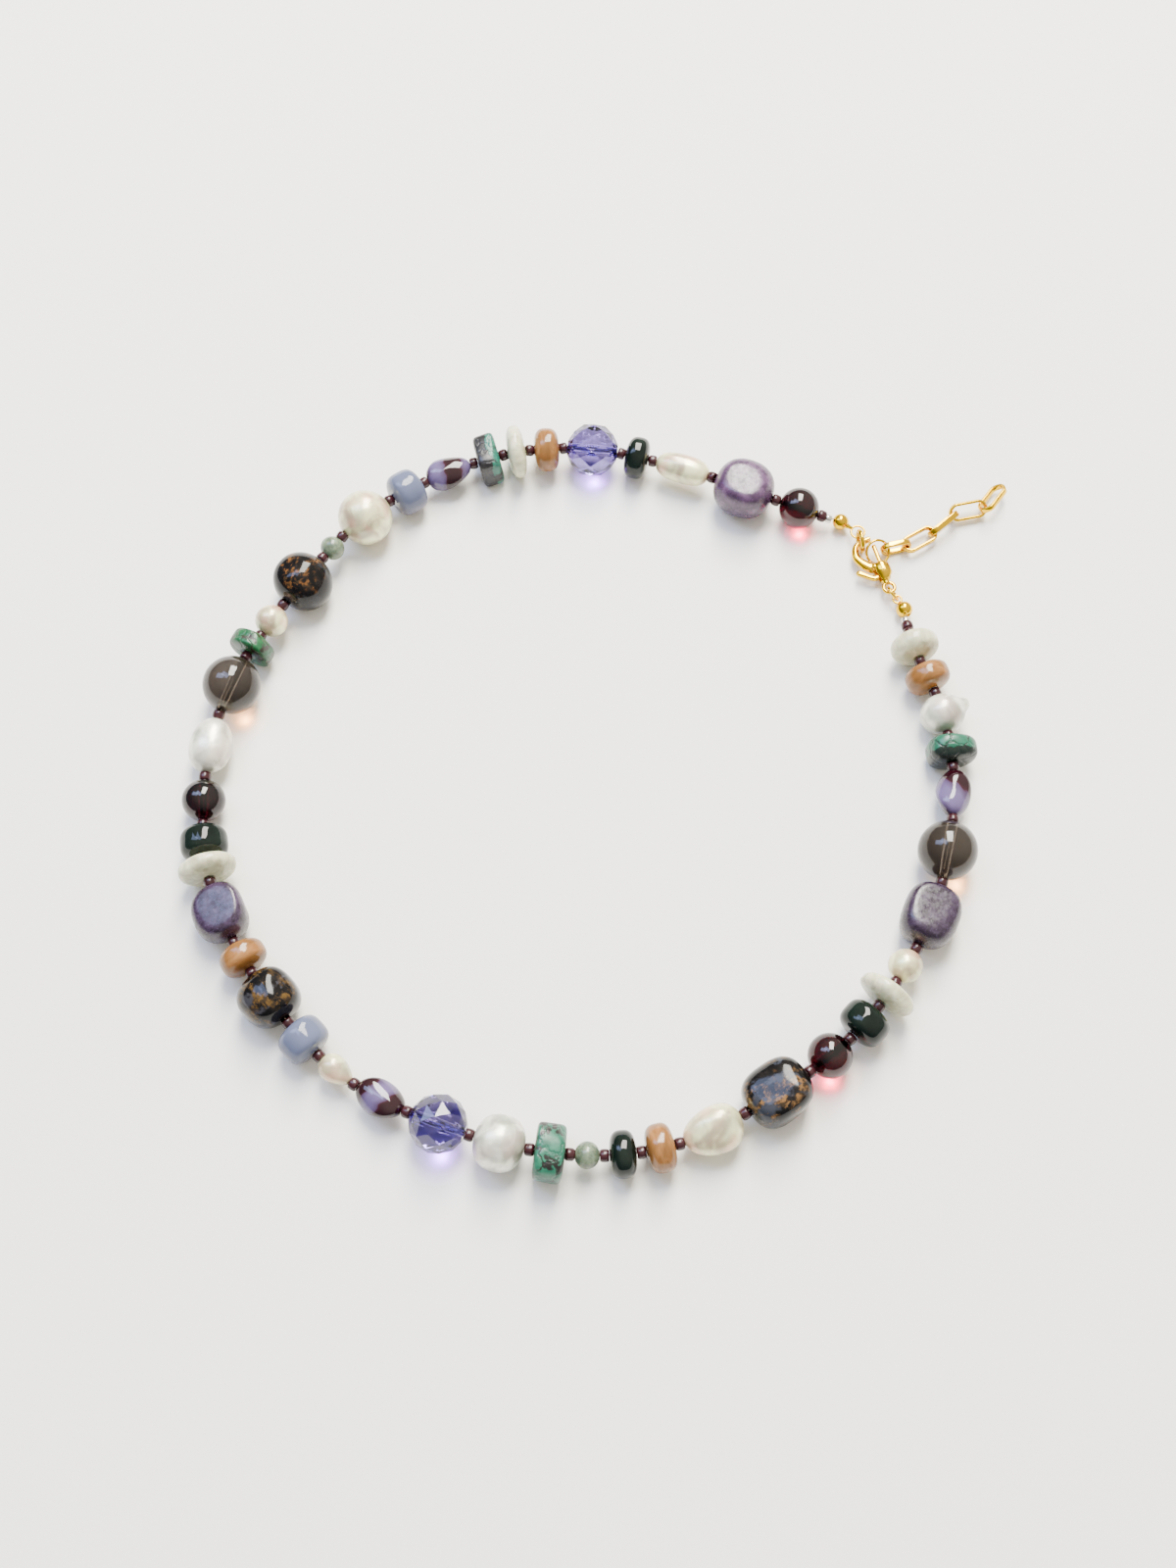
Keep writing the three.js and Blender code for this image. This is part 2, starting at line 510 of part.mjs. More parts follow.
// roll 90 stands a link on edge; height is that of its middle, dip how far its far end points down
const standing = LINK_WIDTH / 2;
const lying = standing - 0.15;
const CHAIN = [
  { heading: 13, roll: 90, height: standing + 0.05, dip: 0, length: FIRST_LINK_LENGTH },
  { heading: 31, roll: 0, height: lying, dip: 0, length: LINK_LENGTH },
  { heading: 41, roll: 110, height: standing + 0.05, dip: 0, length: LINK_LENGTH },
  { heading: 12, roll: 38, height: 1.95, dip: 0, length: LINK_LENGTH },
  { heading: 54, roll: -38, height: 2.1, dip: 5, length: LINK_LENGTH },
];
const chainHook = chainRingInside.clone().addScaledVector(chainRingAxis, 2 * chainRingReach);
let linkStart = chainHook.clone();
let startBack = CHAIN_RING_WIRE_D / 2 + LINK_PLAY + LINK_WALL;
CHAIN.forEach((row, index) => {
  const link = addGold(`chain_link_${index + 1}`, chainLink(row.length));
  const along = new THREE.Vector3(Math.cos(row.heading * DEGREE), Math.sin(row.heading * DEGREE), 0);
  const middle = linkStart.clone().addScaledVector(along, row.length / 2 - startBack);
  link.rotation.set(row.roll * DEGREE, row.dip * DEGREE, row.heading * DEGREE, "ZYX");
  link.position.set(middle.x, middle.y, row.height);
  linkStart = middle.addScaledVector(along, row.length / 2 - LINK_WALL / 2);
  startBack = LINK_WALL / 2 + LINK_PLAY + LINK_WALL;
});

// Heights of the beads: each rests on the surface or sags a little between its neighbours
const sizes = STRING.map((row) => ({ ...row, ...KINDS[row.kind] }));
const heights = sizes.map((size) => size.tall / 2);
for (let pass = 0; pass < 300; pass++) {
  for (let i = 0; i < heights.length; i++) {
    const before = i > 0 ? heights[i - 1] : firstBall.z;
    const after = i < heights.length - 1 ? heights[i + 1] : secondBall.z;
    heights[i] = Math.max(sizes[i].tall / 2, (before + after) / 2 - DROOP);
  }
}

// Distance of each bead's middle from the first ball tip, measured along the string
const stations = [];
let reached = BALL_D / 2 + TIP_ROOM;
sizes.forEach((size) => {
  stations.push(reached + size.long / 2);
  reached += size.long + (size.close ? CLOSE_GAP : SEED_LENGTH);
});
const stringLength = reached - SEED_LENGTH + TAIL_ROOM + BALL_D / 2;

// The route grows or shrinks about the first ball tip until it is as long as the string, and a small
// drift shared out along it brings its last point to the second ball tip
const start = new THREE.Vector3(firstBall.x, firstBall.y, 0);
const finish = new THREE.Vector3(secondBall.x, secondBall.y, 0);
const routePoints = [start, ...ROUTE.map(([x, y]) => new THREE.Vector3(x, y, 0)), finish];
const routeThrough = (points) => {
  const curve = new THREE.CatmullRomCurve3(points, false, "centripetal");
  curve.arcLengthDivisions = 2000;
  return curve;
};
let route = routeThrough(routePoints);
for (let pass = 0; pass < 6; pass++) {
  const growth = stringLength / route.getLength();
  const grown = routePoints.map((point) => point.clone().sub(start).multiplyScalar(growth).add(start));
  const drift = finish.clone().sub(grown[grown.length - 1]);
  grown.forEach((point, i) => {
    routePoints[i] = point.addScaledVector(drift, i / (grown.length - 1));
  });
  route = routeThrough(routePoints);
}

// A height for any distance along the string, straight between neighbouring beads
const knots = [0, ...stations, stringLength];
const knotHeights = [firstBall.z, ...heights, secondBall.z];
function onString(distance) {
  const place = route.getPointAt(THREE.MathUtils.clamp(distance / stringLength, 0, 1));
  const found = knots.findIndex((knot) => knot >= distance);
  const next = found < 0 ? knots.length - 1 : Math.max(1, found);
  const share = (distance - knots[next - 1]) / (knots[next] - knots[next - 1]);
  place.z = THREE.MathUtils.lerp(knotHeights[next - 1], knotHeights[next], share);
  return place;
}

// The thread leaves each drilled ball straight before it bends to the first or last bead
const leave = (ball, heading, reach) => {
  return ball.clone().addScaledVector(heading.clone().normalize(), reach);
};
const leaving = [BALL_D / 5, BALL_D / 2, BALL_D / 2 + 0.8];
const threadPoints = leaving.map((reach) => leave(firstBall, firstHeading, reach));
sizes.forEach((size, i) => {
  const near = onString(stations[i] - size.long / 2);
  const far = onString(stations[i] + size.long / 2);
  const middle = onString(stations[i]);
  const along = far.clone().sub(near).normalize();
  const side = new THREE.Vector3().crossVectors(along, UP).normalize();
  const up = new THREE.Vector3().crossVectors(side, along);
  const shaper = SHAPERS[size.kind] ?? stoneBead;
  const bead = addPiece(`bead_${size.bead}`, shaper(size), size.colour, size.rough, 0);
  bead.quaternion.setFromRotationMatrix(new THREE.Matrix4().makeBasis(side, along, up));
  bead.position.copy(middle);
  threadPoints.push(middle.clone().addScaledVector(along, -size.long / 2));
  threadPoints.push(middle.clone().addScaledVector(along, size.long / 2));
});
threadPoints.push(...leaving.reverse().map((reach) => leave(secondBall, tailHeading, reach)));

const threadSection = new THREE.Shape();
threadSection.absarc(0, 0, THREAD_D / 2, 0, Math.PI * 2);
const smoothThread = new THREE.CatmullRomCurve3(threadPoints, false, "centripetal");
smoothThread.arcLengthDivisions = 2000;
const threadShape = new THREE.Shape(threadSection.getPoints(THREAD_SIDES).slice(0, THREAD_SIDES));
const threadOptions = { extrudePath: smoothThread, steps: 3 * STRING.length, bevelEnabled: false };
addPiece("thread", new THREE.ExtrudeGeometry(threadShape, threadOptions), 0xd8d2c4, 0.5, 0);

// The lowest bead touches the surface, and the origin is the middle of the whole piece's outline
necklace.updateMatrixWorld(true);
const bounds = new THREE.Box3().setFromObject(necklace, true);
const centre = bounds.getCenter(new THREE.Vector3());
necklace.position.set(-centre.x, -centre.y, -bounds.min.z);
necklace.updateMatrixWorld(true);

export default necklace;
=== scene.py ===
import json
import bmesh
import bpy
import numpy as np
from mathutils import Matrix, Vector


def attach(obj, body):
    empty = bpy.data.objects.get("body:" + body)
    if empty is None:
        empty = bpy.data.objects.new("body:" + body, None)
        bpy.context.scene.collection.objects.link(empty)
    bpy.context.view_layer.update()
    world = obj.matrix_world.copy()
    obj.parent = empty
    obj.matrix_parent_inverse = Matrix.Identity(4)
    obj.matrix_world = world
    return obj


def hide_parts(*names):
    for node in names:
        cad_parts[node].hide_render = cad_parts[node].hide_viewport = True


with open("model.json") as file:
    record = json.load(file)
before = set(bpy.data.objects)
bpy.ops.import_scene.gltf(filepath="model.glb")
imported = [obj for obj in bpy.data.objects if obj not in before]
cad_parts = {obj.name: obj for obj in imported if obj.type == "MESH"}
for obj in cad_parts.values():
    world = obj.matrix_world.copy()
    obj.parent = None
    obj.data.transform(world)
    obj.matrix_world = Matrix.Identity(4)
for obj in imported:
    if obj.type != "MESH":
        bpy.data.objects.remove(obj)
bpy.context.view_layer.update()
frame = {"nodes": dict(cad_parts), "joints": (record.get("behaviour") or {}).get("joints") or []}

MM = 0.001

# Camera. The picture is taken by hand from the near side, looking steeply down on the loop,
# with a phone's mild wide angle, so the far beads are a little smaller than the near ones.
LOOK_AT = Vector((-3.95, 0.15, 0.0)) * MM
LOOK_DOWN = np.radians(67.5)
LOOK_FROM = 338.5 * MM
eye = bpy.data.objects.new("eye", bpy.data.cameras.new("eye"))
eye.data.sensor_fit = "VERTICAL"
eye.data.sensor_height = 24
eye.data.lens = 24 * 1960 / 1600
eye.data.clip_start = 0.01
eye.location = LOOK_AT + LOOK_FROM * Vector((0, -np.cos(LOOK_DOWN), np.sin(LOOK_DOWN)))
eye.rotation_euler = (np.pi / 2 - LOOK_DOWN, 0, 0)
bpy.context.collection.objects.link(eye)
bpy.context.scene.camera = eye

# Paper. The loop lies on a sheet of thick white paper with a faint rough tooth.
def tint(red, green, blue):
    """A colour given as it looks under these windows, 0 to 255, as the share of light that a surface
    sends back: a camera's curve read backwards, (seen / (255 - seen)) to the power 1.23, over 17."""
    seen = np.array([red, green, blue])
    share = np.minimum((seen / (255 - seen)) ** 1.23 / 17, 0.92)
    return (*share.tolist(), 1.0)


class Strand:
    """One value or colour running through a weave of nodes; sums on it add Math nodes."""

    def __init__(self, weave, end):
        self.weave = weave
        self.end = end

    def sum(self, operation, *terms):
        return self.weave.node("ShaderNodeMath", {"operation": operation}, dict(enumerate(terms)))

    def __add__(self, other):
        return self.sum("ADD", self, other)

    def __radd__(self, other):
        return self.sum("ADD", other, self)

    def __sub__(self, other):
        return self.sum("SUBTRACT", self, other)

    def __rsub__(self, other):
        return self.sum("SUBTRACT", other, self)

    def __mul__(self, other):
        return self.sum("MULTIPLY", self, other)

    def __rmul__(self, other):
        return self.sum("MULTIPLY", other, self)

    def between(self, low, high):
        """0 below low, 1 above high, and a soft step from one to the other."""
        steps = {"Value": self, "From Min": low, "From Max": high}
        return self.weave.node("ShaderNodeMapRange", {"interpolation_type": "SMOOTHSTEP"}, steps)


class Weave:
    """A tree of nodes, to which each method adds one."""

    def __init__(self, tree):
        self.tree = tree

    def node(self, kind, settings, sockets, out=0):
        """Adds a node of a kind: its settings first, then what its sockets hold or are joined to."""
        made = self.tree.nodes.new(kind)
        stops = settings.pop("stops", None)
        for key, value in settings.items():
            setattr(made, key, value)
        if stops:
            ramp = made.color_ramp
            while len(ramp.elements) < len(stops):
                ramp.elements.new(0.5)
            for element, (place, colour) in zip(ramp.elements, stops):
                element.position = place
                element.color = colour
        for key, value in sockets.items():
            if isinstance(value, Strand):
                self.tree.links.new(value.end, made.inputs[key])
            else:
                made.inputs[key].default_value = value
        return Strand(self, made.outputs[out])

    def spread(self, name):
        """A vector kept on the mesh's points, in millimetres of the piece's own frame."""
        return self.node("ShaderNodeAttribute", {"attribute_name": name}, {}, "Vector")

    def object_place(self):
        """Where a point of the piece is, in metres."""
        return self.node("ShaderNodeTexCoord", {}, {}, "Object")

    def stretch(self, vector, scale, turn=(0, 0, 0), move=(0, 0, 0)):
        """The vector scaled, turned and moved, so that a pattern on it is drawn out or shifted."""
        sockets = {"Vector": vector, "Location": move, "Rotation": turn, "Scale": scale}
        return self.node("ShaderNodeMapping", {}, sockets)

    def clouds(self, vector, scale, detail=3.0, rough=0.5, warp=0.0):
        """Soft noise from 0 to 1; scale is in bumps per unit of the vector."""
        sockets = {"Vector": vector, "Scale": scale, "Detail": detail, "Roughness": rough, "Distortion": warp}
        return self.node("ShaderNodeTexNoise", {}, sockets)

    def cells(self, vector, scale, feature="F1"):
        """Distance from the middle of the nearest cell, or with another feature from its edge."""
        sockets = {"Vector": vector, "Scale": scale}
        return self.node("ShaderNodeTexVoronoi", {"feature": feature}, sockets, "Distance")

    def part(self, vector, axis):
        """One of a vector's three numbers."""
        return self.node("ShaderNodeSeparateXYZ", {}, {0: vector}, axis)

    def mix(self, first, second, share):
        """The first colour where share is 0 and the second where it is 1."""
        return self.node("ShaderNodeMix", {"data_type": "RGBA"}, {0: share, 6: first, 7: second}, 2)

    def ramp(self, share, *stops):
        """Blends from colour to colour as share passes each stop's place."""
        return self.node("ShaderNodeValToRGB", {"stops": list(stops)}, {0: share})


class Finish(Weave):
    """A material with one glossy surface whose plain values are set on its sockets."""

    def __init__(self, name, **plain):
        self.material = bpy.data.materials.new(name)
        self.material.use_nodes = True
        super().__init__(self.material.node_tree)
        self.surface = self.tree.nodes["Principled BSDF"]
        for socket, value in plain.items():
            self.surface.inputs[socket.replace("_", " ")].default_value = value

    def set(self, socket, strand):
        """Joins a value or colour that changes over the surface to one of the surface's sockets."""
        self.tree.links.new(strand.end, self.surface.inputs[socket])

    def relief(self, height, deep, strength):
        """Dents and bumps as deep as given, in metres, that only the light sees."""
        sockets = {"Height": height, "Distance": deep, "Strength": strength}
        self.set("Normal", self.node("ShaderNodeBump", {}, sockets))


def sheet_of(name, points, faces, material):
    """A mesh piece from an array of points in metres and an array of faces."""
    mesh = bpy.data.meshes.new(name)
    mesh.from_pydata(points, [], faces.tolist())
    mesh.update()
    piece = bpy.data.objects.new(name, mesh)
    piece.data.materials.append(material)
    bpy.context.collection.objects.link(piece)
    return piece


paper = Finish("paper", Roughness=0.85, Specular_IOR_Level=0.2)
tooth = paper.clouds(paper.object_place(), 900, 4, 0.6)
blotch = paper.clouds(paper.object_place(), 14, 2, 0.5)
paper.set("Base Color", paper.mix((0.89, 0.875, 0.82, 1), (0.94, 0.925, 0.875, 1), blotch))
paper.relief(tooth, 0.00012, 0.25)
edge = np.array([[-1, -1], [1, -1], [1, 1], [-1, 1]]) * 0.9
sheet = np.column_stack([edge, np.full(4, -0.00002)])
floor = sheet_of("paper_sheet", sheet, np.array([[0, 1, 2, 3]]), paper.material)

# Light. A big window in two panes stands behind the loop and a smaller one, filled with blue sky,
# to its left. The room is pale above and to the right and dim at its left and low down, so that the
# beads have paired highlights, and soft shadows towards the viewer and to the left.
room = bpy.data.worlds.new("room")
room.use_nodes = True
air = Weave(room.node_tree)
facing = {0: air.node("ShaderNodeTexCoord", {}, {}, "Generated"), 1: (0.4, 0.25, 0.88)}
lit = air.node("ShaderNodeVectorMath", {"operation": "DOT_PRODUCT"}, facing, "Value").between(-0.1, 1.0)
glow = air.mix((0.28, 0.3, 0.34, 1), (1.38, 1.3, 1.14, 1), lit)
air.tree.links.new(glow.end, air.tree.nodes["Background"].inputs["Color"])
bpy.context.scene.world = room


def window(name, towards, wide, tall, power, colour):
    """A window pane: a flat lamp of wide by tall metres, 1.2 m away along a direction, facing the loop."""
    pane = bpy.data.objects.new(name, bpy.data.lights.new(name, "AREA"))
    pane.data.shape = "RECTANGLE"
    pane.data.size = wide
    pane.data.size_y = tall
    pane.data.energy = power
    pane.data.color = colour
    way = Vector(towards).normalized()
    pane.location = way * 1.2
    pane.rotation_euler = way.to_track_quat("Z", "Y").to_euler()
    bpy.context.collection.objects.link(pane)


window("window_white", (0.09, 0.59, 0.81), 0.42, 0.95, 56, (1, 0.96, 0.88))
window("window_sky_left", (-0.60, 0.25, 0.76), 0.33, 0.62, 6, (0.45, 0.58, 1))
window("window_sky_right", (-0.32, 0.28, 0.90), 0.33, 0.62, 6, (0.45, 0.58, 1))


# Thread. One twisted nylon thread runs through every bead and is knotted inside the ball tip at
# each end. A bead's bore follows the thread, so its place tells how each bead is turned.
ORDER = """garnet_1 lepidolite_1 pearl_rice green_rondelle_1 crystal_1 orange_rondelle_1 white_disc_1
turquoise_1 twist_glass_1 blue_barrel_1 pearl_large jade_1 bronzite_1 pearl_small_1 turquoise_2
smoky_quartz_1 pearl_baroque_1 garnet_2 green_barrel_1 white_disc_2 lepidolite_2 orange_rondelle_2
bronzite_2 blue_barrel_2 pearl_drop twist_glass_2 crystal_2 pearl_white turquoise_3 jade_2
green_rondelle_2 orange_rondelle_3 pearl_baroque_2 bronzite_3 garnet_3 green_barrel_2 white_disc_3
pearl_small_2 lepidolite_3 smoky_quartz_2 twist_glass_3 turquoise_4 pearl_bump orange_rondelle_4
white_rondelle""".split()
BODY = "necklace"
BORE = 1.2
LOWEST = 0.02
GRAIN_STEP = 37.0


def points_of(node):
    """The places of a solid's points in millimetres, each once."""
    mesh = frame["nodes"][node].data
    flat = np.empty(len(mesh.vertices) * 3)
    mesh.vertices.foreach_get("co", flat)
    return np.unique(np.round(flat.reshape(-1, 3) / MM, 4), axis=0)


def unit(vector):
    return vector / np.linalg.norm(vector, axis=-1, keepdims=True)


middles = {name: points_of(f"bead_{name}").mean(axis=0) for name in ORDER}
ball_first = points_of("ball_tip_first").mean(axis=0)
ball_second = points_of("ball_tip_second").mean(axis=0)
line = points_of("thread")


RIM_POINTS, RIM_BAND = 20, 0.2


def seat(name):
    """How a bead sits: its two bore ends, found as the points that lie nearest its axis, a few more
    than RIM_POINTS of them, and from them its middle, its directions level across the string, along
    it and up, and its length. The axis starts on the thread and is then moved to the ends found."""
    place = ORDER.index(name)
    before = middles[ORDER[place - 1]] if place else ball_first
    after = middles[ORDER[place + 1]] if place < len(ORDER) - 1 else ball_second
    points = points_of(f"bead_{name}")
    middle = line[np.argsort(np.linalg.norm(line - middles[name], axis=1))[:5]].mean(axis=0)
    way = unit(after - before)
    for _ in range(4):
        along = (points - middle) @ way
        off = np.linalg.norm(points - middle - along[:, None] * way, axis=1)
        rim = off < np.sort(off)[RIM_POINTS - 1] + RIM_BAND
        half = (along[rim].max() + along[rim].min()) / 2
        near = points[rim & (along < half)].mean(axis=0)
        far = points[rim & (along > half)].mean(axis=0)
        middle, way = (near + far) / 2, unit(far - near)
    level = unit(np.cross(way, [0, 0, 1]))
    turned = np.array([level, way, np.cross(level, way)])
    return middle, turned, np.linalg.norm(far - near)


seats = {name: seat(name) for name in ORDER}

nylon = Finish("thread_nylon", Roughness=0.5)
lay = nylon.node("ShaderNodeTexWave", {}, {"Vector": nylon.object_place(), "Scale": 900.0, "Distortion": 1.0})
nylon.set("Base Color", nylon.mix(tint(190, 180, 168), tint(216, 208, 195), lay))
frame["nodes"]["thread"].data.materials.clear()
frame["nodes"]["thread"].data.materials.append(nylon.material)


# Pearls. Freshwater pearls, grown round, long, drop-shaped or lumpy, drilled through and polished.
# Their nacre is ivory with faint pink and green, under a clear deep gloss.
def turned_outline(long, wide, full, rows=40):
    """Half outline of a bead from one bore end over the belly to the other, as (radius, along): an
    oval whose corners grow squarer as full rises above 2, cut off where it meets the bore."""
    start = np.arcsin((BORE / wide) ** (full / 2))
    angle = np.linspace(np.pi - start, start, rows)
    along = np.sign(np.cos(angle)) * np.abs(np.cos(angle)) ** (2 / full) / np.cos(start) ** (2 / full)
    return np.column_stack([wide / 2 * np.sin(angle) ** (2 / full), along * long / 2])


def bead_skin(long, wide, tall, full=2.0, square=2.0, lobes=0, lobe=0.0, taper=0.0, twist=0.0,
              uneven=0.0, seed=0, rows=40, sides=56):
    """A drilled bead in its own frame, in millimetres, as a closed grid of rows by sides. The outline
    is turned about the bore; level and upright widths, squareness, lobes, a taper and a twist then
    reshape each ring, and low waves of the given share make the surface uneven. The last rows run
    back through the bore."""
    outline = turned_outline(long, wide, full, rows)
    tunnel = np.column_stack([np.full(6, BORE / 2), np.linspace(long / 2, -long / 2, 8)[1:-1]])
    outline = np.vstack([outline, tunnel])
    around = np.linspace(0, 2 * np.pi, sides, endpoint=False)
    radius, y = outline[:, :1], outline[:, 1:]
    share = np.clip((radius - BORE / 2) / (wide / 2 - BORE / 2), 0, 1)
    angle = around[None, :] - np.radians(twist) * y / long
    level = np.abs(np.cos(angle)) / (wide / 2)
    upright = np.abs(np.sin(angle)) / (tall / 2)
    section = (level ** square + upright ** square) ** (-1 / square)
    wave = 1 + lobe * np.cos(lobes * angle + y / long) + taper * 2 * y / long
    chance = np.random.default_rng(seed)
    for _ in range(5):
        turns, ways, shift = chance.integers(1, 4), chance.uniform(-2.2, 2.2), chance.uniform(0, 6.3)
        wave = wave + uneven / 3 * np.sin(turns * angle + ways * 2 * y / long + shift)
    grown = BORE / 2 + share * (section * wave - BORE / 2)
    return np.stack([grown * np.cos(around), np.broadcast_to(y, grown.shape), grown * np.sin(around)], -1)


WORN_EDGE, WORN_SHARE = 0.25, 0.96


def worn(skin, turned, flats):
    """Grinds flats on a bead: along each direction, given in the room, all that stands further out
    than its farthest point less the depth is pushed back, softly, to that plane."""
    skin = skin.copy()
    for direction, depth in flats:
        way = turned @ unit(np.array(direction, float))
        reach = skin @ way
        over = reach - (reach.max() - depth)
        soft = WORN_EDGE * np.logaddexp(0, over / WORN_EDGE)
        skin -= soft[..., None] * WORN_SHARE * way
    return skin


def grid_faces(rows, sides, closed):
    """Four-cornered faces of a grid of rows by sides that closes round its sides, and round its rows
    too if it is closed."""
    row, side = np.meshgrid(np.arange(rows if closed else rows - 1), np.arange(sides), indexing="ij")
    here, there = row * sides, (row + 1) % rows * sides
    nxt = (side + 1) % sides
    return np.stack([here + side, there + side, there + nxt, here + nxt], axis=-1).reshape(-1, 4)


def keep(mesh, name, values):
    """Puts one vector on each of the mesh's points."""
    kept = mesh.attributes.new(name, "FLOAT_VECTOR", "POINT")
    kept.data.foreach_set("vector", np.ascontiguousarray(values, dtype=np.float32).ravel())


def on_string(label, skin, material, at, shift, faces=None):
    """Puts a bead's own grid where at says it sits and keeps two vectors for its finish: place, in the
    bead's own frame, and grain, the same but moved by shift so that no two beads show the same
    pattern. Faces given with the grid are flat facets."""
    middle, turned, _ = at
    own = skin.reshape(-1, 3)
    places = own @ turned + middle
    places[:, 2] = np.maximum(places[:, 2], LOWEST)
    smooth = faces is None
    faces = grid_faces(skin.shape[0], skin.shape[1], True) if smooth else faces
    piece = sheet_of(label, places * MM, faces, material)
    piece.data.polygons.foreach_set("use_smooth", np.full(len(faces), smooth))
    keep(piece.data, "place", own)
    keep(piece.data, "grain", own + GRAIN_STEP * shift)
    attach(piece, BODY)
    return piece


def string_up(name, skin, material, flats=(), faces=None):
    """Puts a main bead on the string, with its flats ground, in place of the plain solid."""
    skin = worn(skin, seats[name][1], flats)
    piece = on_string(f"{name}_bead", skin, material, seats[name], ORDER.index(name), faces)
    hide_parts(f"bead_{name}")


def nacre(name, deep, pale, blush):
    """Pearl: a cloudy body colour with drifts of pink and green, under a clear coat."""
    pearl = Finish(name, Roughness=0.32, Coat_Weight=0.6, Coat_Roughness=0.06, Metallic=0.3,
                   Specular_IOR_Level=0.6)
    grain = pearl.spread("grain")
    drift = pearl.clouds(grain, 0.28, 2, 0.5, 0.6)
    body = pearl.mix(tint(*deep), tint(*pale), drift.between(0.3, 0.7))
    rose = pearl.clouds(grain, 0.21, 1, 0.5, 0.3).between(0.46, 0.66)
    green = pearl.clouds(pearl.stretch(grain, (1, 1, 1), move=(9, 4, 2)), 0.24, 1, 0.5).between(0.5, 0.7)
    body = pearl.mix(body, tint(*blush), rose * 0.45)
    body = pearl.mix(body, tint(200, 210, 196), green * 0.35)
    pearl.set("Base Color", body)
    pearl.relief(pearl.clouds(grain, 0.8, 3, 0.5), 0.00012, 0.5)
    return pearl.material


ivory = nacre("pearl_ivory", (212, 204, 188), (236, 231, 217), (230, 214, 203))
silver = nacre("pearl_silver", (206, 206, 198), (234, 233, 226), (222, 214, 210))
for name, size, lustre in (
    ("pearl_rice", dict(long=10.1, wide=5.3, tall=5.3, full=2.6, uneven=0.03), ivory),
    ("pearl_large", dict(long=9.8, wide=10.1, tall=10.1, uneven=0.006), ivory),
    ("pearl_small_1", dict(long=5.6, wide=5.9, tall=5.9, uneven=0.012), ivory),
    ("pearl_small_2", dict(long=5.6, wide=5.9, tall=5.9, uneven=0.012), ivory),
    ("pearl_baroque_1", dict(long=10, wide=7, tall=7, full=2.2, lobes=2, lobe=0.05, taper=0.06,
                             uneven=0.05), silver),
    ("pearl_baroque_2", dict(long=10.1, wide=7.6, tall=7.4, full=2.2, lobes=3, lobe=0.06, taper=0.16,
                             uneven=0.05), ivory),
    ("pearl_drop", dict(long=6, wide=4.5, tall=4.5, taper=-0.28, uneven=0.02), ivory),
    ("pearl_white", dict(long=8.4, wide=9.4, tall=9.4, full=2.3, uneven=0.02), silver),
):
    string_up(name, bead_skin(seed=len(name) * 7, **size), lustre)

# The lumpy pearl has a second small pearl grown on its side.
lump = bead_skin(long=7, wide=8, tall=8, uneven=0.02, seed=5, rows=56, sides=72)
bud = np.array([4 - 0.5, 0.84, 0.8])
near_bud = np.linalg.norm(lump - bud, axis=-1, keepdims=True)
lump = lump + unit(bud) * 1.15 * np.exp(-((near_bud / 1.35) ** 4))
string_up("pearl_bump", lump, silver)

# Garnets. Round polished balls of dark wine-red stone, almost black but for a greyish rim. The red
# glow where the light leaves them below is painted into the colour of each ball's lowest cap.
garnet = Finish("garnet_wine", Roughness=0.02, IOR=1.5, Transmission_Weight=1.0)
# Painted glow: a bright red painted into the lowest cap of each ball stands in for the light that leaves it
# below.
under = garnet.part(garnet.spread("place"), "Z").between(-3.8, -3.0)
mist = garnet.clouds(garnet.spread("grain"), 0.25)
deep = garnet.mix((0.011, 0.0006, 0.0018, 1), (0.02, 0.001, 0.0034, 1), mist)
garnet.set("Base Color", garnet.mix((0.2, 0.008, 0.02, 1), deep, under))
for name in ("garnet_1", "garnet_2", "garnet_3"):
    string_up(name, bead_skin(long=7.3, wide=7.6, tall=7.6, uneven=0.004), garnet.material)

# Smoky quartz. Clear grey-brown balls in which the bore shows, enlarged by the stone.
smoky = Finish("smoky_quartz_clear", Roughness=0.01, IOR=1.45, Transmission_Weight=0.88)
haze = smoky.clouds(smoky.spread("grain"), 0.2)
smoky.set("Base Color", smoky.mix((0.085, 0.064, 0.047, 1), (0.115, 0.09, 0.07, 1), haze))
for name in ("smoky_quartz_1", "smoky_quartz_2"):
    string_up(name, bead_skin(long=10.3, wide=10.3, tall=10.3), smoky.material)


# Cut crystals. Violet lead glass balls, drilled, and ground all over with flat facets: ten
# to a row, each row turned by half a facet from the last.
RINGS, CORNERS = 7, 10
GIRDLE_END = 0.30


def cut_ball(long, wide):
    """Rings of corners on an oval from one bore end to the other, every second ring turned by half a
    step, and two plain rings back through the bore; each two rings are joined by triangles."""
    angle = np.linspace(np.pi - GIRDLE_END, GIRDLE_END, RINGS)
    rings = np.column_stack([wide / 2 * np.sin(angle), long / 2 * np.cos(angle) / np.cos(GIRDLE_END)])
    rings = np.vstack([rings, [[BORE / 2, long / 2 - 0.1], [BORE / 2, 0.1 - long / 2]]])
    rings[:, 1] = np.clip(rings[:, 1], -long / 2, long / 2)
    count = len(rings)
    turn = np.where(np.arange(count) < RINGS, np.arange(count) % 2 / 2, 0)
    around = (np.arange(CORNERS)[None] + turn[:, None]) * 2 * np.pi / CORNERS
    radius, along = rings[:, :1], np.repeat(rings[:, 1:], CORNERS, 1)
    corners = np.stack([radius * np.cos(around), along, radius * np.sin(around)], -1)
    row, side = np.meshgrid(np.arange(count), np.arange(CORNERS), indexing="ij")
    here, there = row * CORNERS, (row + 1) % count * CORNERS
    ahead = (side + 1) % CORNERS
    late = (np.roll(turn, -1) < turn)[:, None]
    first = np.stack([here + side, there + np.where(late, ahead, side), here + ahead], -1)
    second = np.stack([there + side, there + ahead, here + np.where(late, side, ahead)], -1)
    return corners, np.vstack([first.reshape(-1, 3), second.reshape(-1, 3)])


